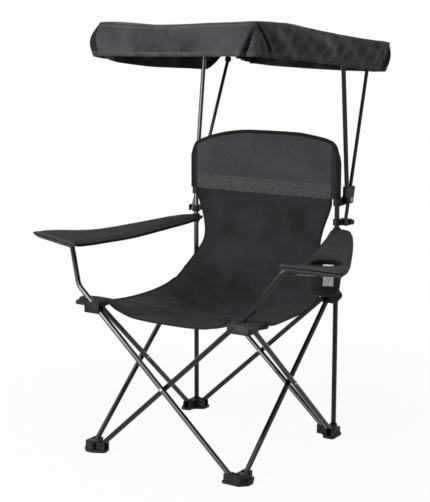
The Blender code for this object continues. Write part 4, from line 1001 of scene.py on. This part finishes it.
right_hem = [(-0.204, 1.2070), (-0.176, 1.2020), (-0.090, 1.1850), (0.063, 1.1680), (0.171, 1.1600),
             (0.285, 1.1537), (0.343, 1.1496), (0.391, 1.1470), (0.427, 1.1600), (0.470, 1.1860),
             (0.505, 1.1925), (0.545, 1.1900), (0.590, 1.1740), (0.632, 1.1640)]
front_hem = [(-0.277, 1.2070), (-0.255, 1.2085), (-0.085, 1.2105), (0.091, 1.2138), (0.225, 1.2160),
             (0.277, 1.2170)]
rear_hem = [(-0.277, 1.1640), (-0.166, 1.1544), (-0.066, 1.1499), (0.089, 1.1452), (0.182, 1.1442),
            (0.277, 1.1440)]
roof_folds = fold_list([
    ((0.25, -0.17), (-0.05, 0.12), 0.030, 0.0045), ((-0.25, -0.16), (0.02, 0.10), 0.028, 0.0035),
    ((0.25, 0.58), (0.0, 0.33), 0.030, 0.0040), ((-0.25, 0.58), (-0.02, 0.36), 0.030, 0.0035),
    ((0.24, 0.18), (0.02, 0.22), 0.028, -0.0030), ((-0.22, 0.30), (0.02, 0.26), 0.028, 0.0030),
    ((0.10, -0.18), (0.02, 0.02), 0.024, 0.0025), ((-0.12, -0.18), (-0.06, 0.00), 0.024, -0.0025),
])


def roof_z(x, y):
    """Height of the roof cloth, drawn from its four edges, with its sag and folds."""
    u = (x + canopy_half_w) / (2 * canopy_half_w)
    v = (y - canopy_front) / (canopy_rear - canopy_front)
    z = mix(lookup(right_top, y), lookup(left_top, y), u)
    z += mix(lookup(front_top, x), lookup(rear_top, x), v)
    near = mix(front_top[0][1], front_top[-1][1], u)
    far = mix(rear_top[0][1], rear_top[-1][1], u)
    z -= mix(near, far, v)
    z -= roof_sag * max(0, 1 - (x / rail_x) ** 2) * step_between(0, 0.2, v) * step_between(1, 0.8, v)
    soft = step_between(1, 0.85, abs(x) / canopy_half_w) * step_between(0, 0.06, v) * step_between(1, 0.94, v)
    return z + soft * creased(Vector((x, y)), roof_folds)


def spread(length, dense, fine, coarse):
    """Places along a side, close together near both ends."""
    steps = [0.0]
    while steps[-1] < dense:
        steps.append(steps[-1] + fine)
    tail = [length - s for s in steps][::-1]
    count = max(2, math.ceil((tail[0] - steps[-1]) / coarse))
    return steps + [mix(steps[-1], tail[0], k / count) for k in range(1, count)] + tail


# The rim's plan runs round from the front's right end; each place keeps its side and corner distance
dense_length, fine_step, coarse_step = 0.080, 0.0036, 0.016
plan = []
ends = [((-1, -1), (1, -1)), ((1, -1), (1, 1)), ((1, 1), (-1, 1)), ((-1, 1), (-1, -1))]
corner_xy = {(sx, sy): Vector((sx * canopy_half_w, canopy_front if sy < 0 else canopy_rear))
             for sx in (-1, 1) for sy in (-1, 1)}
for number, (start, end) in enumerate(ends):
    a, b = corner_xy[start], corner_xy[end]
    way = (b - a).normalized()
    out = Vector((way.y, -way.x))
    length = (b - a).length - 2 * canopy_corner
    for place in spread(length, dense_length, fine_step, coarse_step):
        spot = a + way * (canopy_corner + place)
        near = start if place < length / 2 else end
        away = min(place, length - place) + canopy_corner
        plan.append((spot, out, near, away, number))
    centre = b - way * canopy_corner - out * canopy_corner
    for k in range(1, 5):
        turn = math.pi / 2 * k / 5
        ray = out * math.cos(turn) + way * math.sin(turn)
        away = canopy_corner * abs(1 - k / 2.5)
        plan.append((centre + ray * canopy_corner, ray, end, away, number if k < 3 else (number + 1) % 4))
count = len(plan)
travel = [0.0]
for a, b in zip(plan, plan[1:]):
    travel.append(travel[-1] + (b[0] - a[0]).length)
hem_tables = (front_hem, left_hem, rear_hem, right_hem)
# For each side in the rim's order: belly and foot of its valance at its start and its end
flares = (((0.012, 0.010), (0.010, 0.014)), ((0.010, 0.016), (0.002, -0.010)),
          ((-0.004, -0.030), (-0.004, -0.024)), ((0.020, 0.010), (0.027, 0.018)))
# How far each pleat reaches along each side at the hem, at its start and its end
reaches = ((0.008, 0.034), (0.048, 0.040), (0.034, 0.034), (0.040, 0.062))
reach_top, corner_pleat, pleat_half = 0.002, 0.012, 0.0030
corner_blend, corner_hem_blend = 0.045, 0.02
valley_depth, valley_top_w, valley_foot_w = 0.026, 0.0036, 0.0020
lip_tall, lip_away, lip_w = 0.005, 0.012, 0.007
gusset_swell, gusset_room, gusset_fold, gusset_fold_w = 0.010, 0.004, 0.004, 0.005
calm_from, calm_to = 0.03, 0.075
# Ripples of the valance: height, waves along the rim, start and lean
ripples = ((0.0036, 19, 0.6, 4), (0.0032, 43, 2, -6), (0.0022, 88, 0, 9))
# On the left side, a sharp crease at a place and a soft drag that moves rearwards down the cloth
crease_y, crease_w, crease_tall = 0.285, 0.007, 0.0060
drag_from_y, drag_to_y, drag_w, drag_tall = 0.05, 0.22, 0.050, 0.0075


def hem_height(spot, number):
    """The hem's height under a place on the rim."""
    return lookup(hem_tables[number], spot.x if number % 2 == 0 else spot.y)


def along_side(spot, number):
    """Share of the way along a side, in the rim's order."""
    if number % 2 == 0:
        share = (spot.x + canopy_half_w) / (2 * canopy_half_w)
    else:
        share = (spot.y - canopy_front) / (canopy_rear - canopy_front)
    return min(max(share if number < 2 else 1 - share, 0), 1)


def flare_at(spot, number, share):
    """How far the valance stands out, share of the way down."""
    belly, foot = [mix(a, b, step_between(0, 1, along_side(spot, number))) for a, b in zip(*flares[number])]
    return belly * math.sin(math.pi * share) * 0.9 + foot * share * share


def reach_at(spot, number, share):
    """How far the nearest pleat reaches from its corner, share of the way down."""
    return reaches[number][along_side(spot, number) > 0.5] * share + reach_top


def in_pleat(k, share):
    """Whether a place on the valance lies in the folded-back part of a pleat, where the darker cloth paints
    the folds' shade.
    """
    spot, out, near, away, number = plan[k]
    reach = reach_at(spot, number, share)
    if near == (-1, -1):
        return away < (corner_pleat if number == 0 else reach)
    return abs(away - reach) < pleat_half + pleat_half * share


def valance_at(k, share):
    """A point of the valance, share of the way down from the rim."""
    spot, out, near, away, number = plan[k]
    sx, sy = near
    diagonal = Vector((sx, sy)).normalized()
    other = (1 if sx > 0 else 3) if number % 2 == 0 else (2 if sy > 0 else 0)
    turn = step_between(corner_blend, 0, away) * 0.5
    flare = mix(flare_at(spot, number, share), flare_at(spot, other, share), turn)
    out = (out * (1 - turn) + diagonal * turn * 1.4).normalized()
    reach = reach_at(spot, number, share)
    valley = math.exp(-((away - reach) / (valley_top_w + valley_foot_w * share)) ** 2)
    lip = math.exp(-((away - reach - lip_away) / lip_w) ** 2)
    gusset = max(0, 1 - (away / (reach + gusset_room)) ** 2)
    push = lip_tall * lip * share - valley_depth * valley * share ** 0.7
    push += gusset_swell * gusset * math.sin(math.pi * share * 0.8)
    push -= gusset_fold * gusset * math.exp(-(away / gusset_fold_w) ** 2) * math.sin(math.pi * share)
    ripple = sum(tall * math.sin(travel[k] * waves + start + lean * share)
                 for tall, waves, start, lean in ripples)
    ripple *= step_between(calm_from, calm_to, away) * math.sin(math.pi * min(1, share * 0.8 + 0.05))
    if number == 1:
        sharp = (spot.y - crease_y) / crease_w
        ripple += crease_tall * math.exp(-sharp * sharp) * step_between(0.1, 0.4, share)
        drag = (spot.y - mix(drag_from_y, drag_to_y, share)) / drag_w
        ripple += drag_tall * math.exp(-drag * drag) * math.sin(math.pi * min(1, share * 1.3))
    lower = spot + out * (flare + push + ripple)
    low = hem_height(spot, number)
    if away < corner_hem_blend:
        low = mix(low, hem_height(spot, other), 0.5 * step_between(corner_hem_blend, 0, away))
    return Vector((lower.x, lower.y, mix(roof_z(spot.x, spot.y) - rim_drop, low, share)))


valance_rows, roof_rings = 20, 16
middle_plan = Vector((0, (canopy_front + canopy_rear) / 2))
bm = bmesh.new()
rings = []
for j in range(roof_rings + 1):
    share = 1 - (j / (roof_rings + 0.6)) ** 1.15
    ring = []
    for place in plan:
        at = middle_plan + (place[0] - middle_plan) * share
        edge = max(min(canopy_half_w - abs(at.x), at.y - canopy_front, canopy_rear - at.y), 0)
        ring.append(bm.verts.new((at.x, at.y, roof_z(at.x, at.y) - rim_drop * math.exp(-edge / rim_drop_w))))
    rings.append(ring)
lower_rings = [[bm.verts.new(valance_at(k, j / valance_rows)) for k in range(count)]
               for j in range(1, valance_rows + 1)]
stack = lower_rings[::-1] + rings
# The pleats' folded-back faces take the darker cloth, which is painted shade
pleat_shade_slot = 2
for row, (a, b) in enumerate(zip(stack, stack[1:])):
    for k in range(count):
        after = (k + 1) % count
        face = bm.faces.new((a[k], a[after], b[after], b[k]))
        if row < valance_rows and in_pleat(k, 1 - (row + 0.5) / valance_rows):
            face.material_index = pleat_shade_slot
bm.faces.new(rings[-1])
canopy_area = sum(face.calc_area() for face in bm.faces)
canopy = finish_mesh("canopy_roof_cloth", bm, [canopy_finish, canopy_lining, pleat_painted_shade, canopy_lining], 60)
modified(canopy, "SOLIDIFY", thickness=canopy_thick, offset=-1, material_offset=1)
canopy.data.set_sharp_from_angle(angle=math.radians(60))

hem_shares, hem_under = (0.862, 0.93, 1.0), 0.0012
# The hem's section: which of the shares, how far out, and whether it lies under the cloth's edge
hem_section = ((0, 0.0002, 0), (1, 0.0012, 0), (2, 0.0010, 1), (2, -0.0030, 1), (1, -0.0032, 0),
               (0, -0.0026, 0))
sections = []
for k in range(count):
    outer = [valance_at(k, share) for share in hem_shares]
    out = Vector((*plan[k][1], 0))
    sections.append([outer[n] + out * away - Vector((0, 0, hem_under * down))
                     for n, away, down in hem_section])
canopy_trim = [finish_mesh("canopy_hem", sweep(sections, True), canopy_hem_finish, 60)]
loop = list(range(count)) + [0]
up = [Vector((*plan[k][1], 0)) for k in loop]
canopy_stitch_l, canopy_stitch_w = 0.0036, 0.0013
canopy_rows = (("hem_stitches_0", 0.875, 0.0010), ("hem_stitches_1", 0.915, 0.0014),
               ("edge_stitches_0", 0.045, 0.0003), ("edge_stitches_1", 0.085, 0.0003))
for word, share, lift in canopy_rows:
    canopy_trim.append(stitches(f"canopy_{word}", [valance_at(k, share) for k in loop], up, lift,
                                length=canopy_stitch_l, width=canopy_stitch_w, finish=canopy_thread))
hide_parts("canopy_cloth")
for piece in [canopy] + canopy_trim:
    carried(piece, "canopy_right_frame")

# Cloth loops that hold the rear poles at the hem
pole_low, pole_high = Vector((0.3003, 0.3250, 0.6770)), Vector((0.2640, 0.5080, 1.2291))
pole_inner_r, pole_loop_r, pole_loop_round = 0.0062, 0.0105, 0.001
pole_loop_h, pole_loop_share = 0.0150, 0.905
pole_profile = ((pole_inner_r, -0.5), (pole_loop_r - pole_loop_round, -0.5), (pole_loop_r, -0.3),
                (pole_loop_r, 0.3), (pole_loop_r - pole_loop_round, 0.5), (pole_inner_r, 0.5))
for side, word in ((1, "left"), (-1, "right")):
    low, high = [Vector((side * point.x, point.y, point.z)) for point in (pole_low, pole_high)]
    way = (high - low).normalized()
    across = way.cross(Vector((0, 0, 1))).normalized()
    ahead_way = across.cross(way)
    centre = mix(low, high, pole_loop_share)
    sections = []
    for turn in turns(28):
        ray = across * math.cos(turn) + ahead_way * math.sin(turn)
        sections.append([centre + ray * r + way * (rise * pole_loop_h) for r, rise in pole_profile])
    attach(finish_mesh(f"canopy_pole_loop_{word}", sweep(sections, True), binding_finish, 50),
            f"canopy_{word}_frame")

# Floor, which shows plain white to the camera and in gloss and keeps the object's shadow
white_level, room_level = 0.99, 0.15
bpy.ops.mesh.primitive_plane_add(size=40, location=(0, 0, 0))
floor = bpy.context.object
floor.name = "floor"
material, tree, shader = new_material("pale_floor", grey(0.94), 0.9)
glow = tree.nodes.new("ShaderNodeEmission")
glow.inputs["Color"].default_value = (1, 1, 1, 1)
glow.inputs["Strength"].default_value = white_level
rays = tree.nodes.new("ShaderNodeLightPath")
seen = combined(tree, "MAXIMUM", (rays, "Is Camera Ray"), (rays, "Is Glossy Ray"))
place = tree.nodes.new("ShaderNodeTexCoord")
far = tree.nodes.new("ShaderNodeVectorMath")
far.operation = "LENGTH"
link(tree, place, "Object", far, 0)
fade = tree.nodes.new("ShaderNodeMapRange")
for socket, value in (("From Min", 0.6), ("From Max", 1.7), ("To Min", 0.955), ("To Max", 1.0)):
    fade.inputs[socket].default_value = value
link(tree, far, "Value", fade, "Value")
shown = combined(tree, "MULTIPLY", (seen, "Value"), (fade, "Result"))
blend_node = tree.nodes.new("ShaderNodeMixShader")
link(tree, shown, "Value", blend_node, "Fac")
link(tree, shader, "BSDF", blend_node, 1)
link(tree, glow, "Emission", blend_node, 2)
link(tree, blend_node, "Shader", tree.nodes["Material Output"], "Surface")
floor.data.materials.append(material)

# World, white where it is seen and faint as a light
world = bpy.context.scene.world or bpy.data.worlds.new("studio")
bpy.context.scene.world = world
world.use_nodes = True
tree = world.node_tree
background = tree.nodes["Background"]
background.inputs["Color"].default_value = (1, 1, 1, 1)
rays = tree.nodes.new("ShaderNodeLightPath")
seen = combined(tree, "MAXIMUM", (rays, "Is Camera Ray"), (rays, "Is Glossy Ray"))
through = combined(tree, "MAXIMUM", (seen, "Value"), (rays, "Is Transmission Ray"))
strength = tree.nodes.new("ShaderNodeMapRange")
strength.inputs["To Min"].default_value = room_level
strength.inputs["To Max"].default_value = white_level
link(tree, through, "Value", strength, "Value")
link(tree, strength, "Result", background, "Strength")

# Soft lamps: name, place, aim, width and height, power and lean. The gloss lamp is for reflections alone
lamps = (("key", (-0.70, -2.60, 1.45), (0, 0, 1.0), (0.60, 2.8), 56, 0),
         ("top", (-0.3, -1.4, 3.6), (0, 0.1, 0.8), (2.0, 2.0), 32, 0),
         ("fill", (3.2, -0.6, 1.5), (0, 0, 0.8), (0.3, 2.0), 1, 0),
         ("gloss", (-0.50, -1.60, 0.90), (-0.50, 0, 0.90), (0.40, 2.20), 24, math.radians(34.8)),
         ("back", (0.4, 3.0, 2.4), (0, 0, 0.9), (2.4, 1.0), 14, 0))
for name, spot, aim, size, power, lean in lamps:
    data = bpy.data.lights.new(name, "AREA")
    data.shape = "RECTANGLE"
    data.size, data.size_y = size
    data.energy = power
    made = bpy.data.objects.new(name, data)
    made.location = spot
    made.rotation_mode = "QUATERNION"
    turned = (Vector(aim) - Vector(spot)).to_track_quat("-Z", "Y")
    made.rotation_quaternion = turned @ Quaternion((0, 0, 1), lean)
    made.visible_diffuse = name != "gloss"
    made.visible_camera = name != "gloss"
    bpy.context.scene.collection.objects.link(made)

camera_data = bpy.data.cameras.new("camera")
camera_data.lens = camera_lens
camera_data.sensor_width = camera_sensor
camera_data.sensor_fit = "AUTO"
camera_data.shift_x, camera_data.shift_y = camera_shift
camera = bpy.data.objects.new("camera", camera_data)
back = Vector((math.sin(camera_azimuth) * math.cos(camera_rise),
               -math.cos(camera_azimuth) * math.cos(camera_rise), math.sin(camera_rise)))
camera.location = camera_spot
camera.rotation_mode = "QUATERNION"
camera.rotation_quaternion = back.to_track_quat("Z", "Y")
bpy.context.scene.collection.objects.link(camera)
bpy.context.scene.camera = camera
bpy.context.scene.view_settings.view_transform = "Standard"
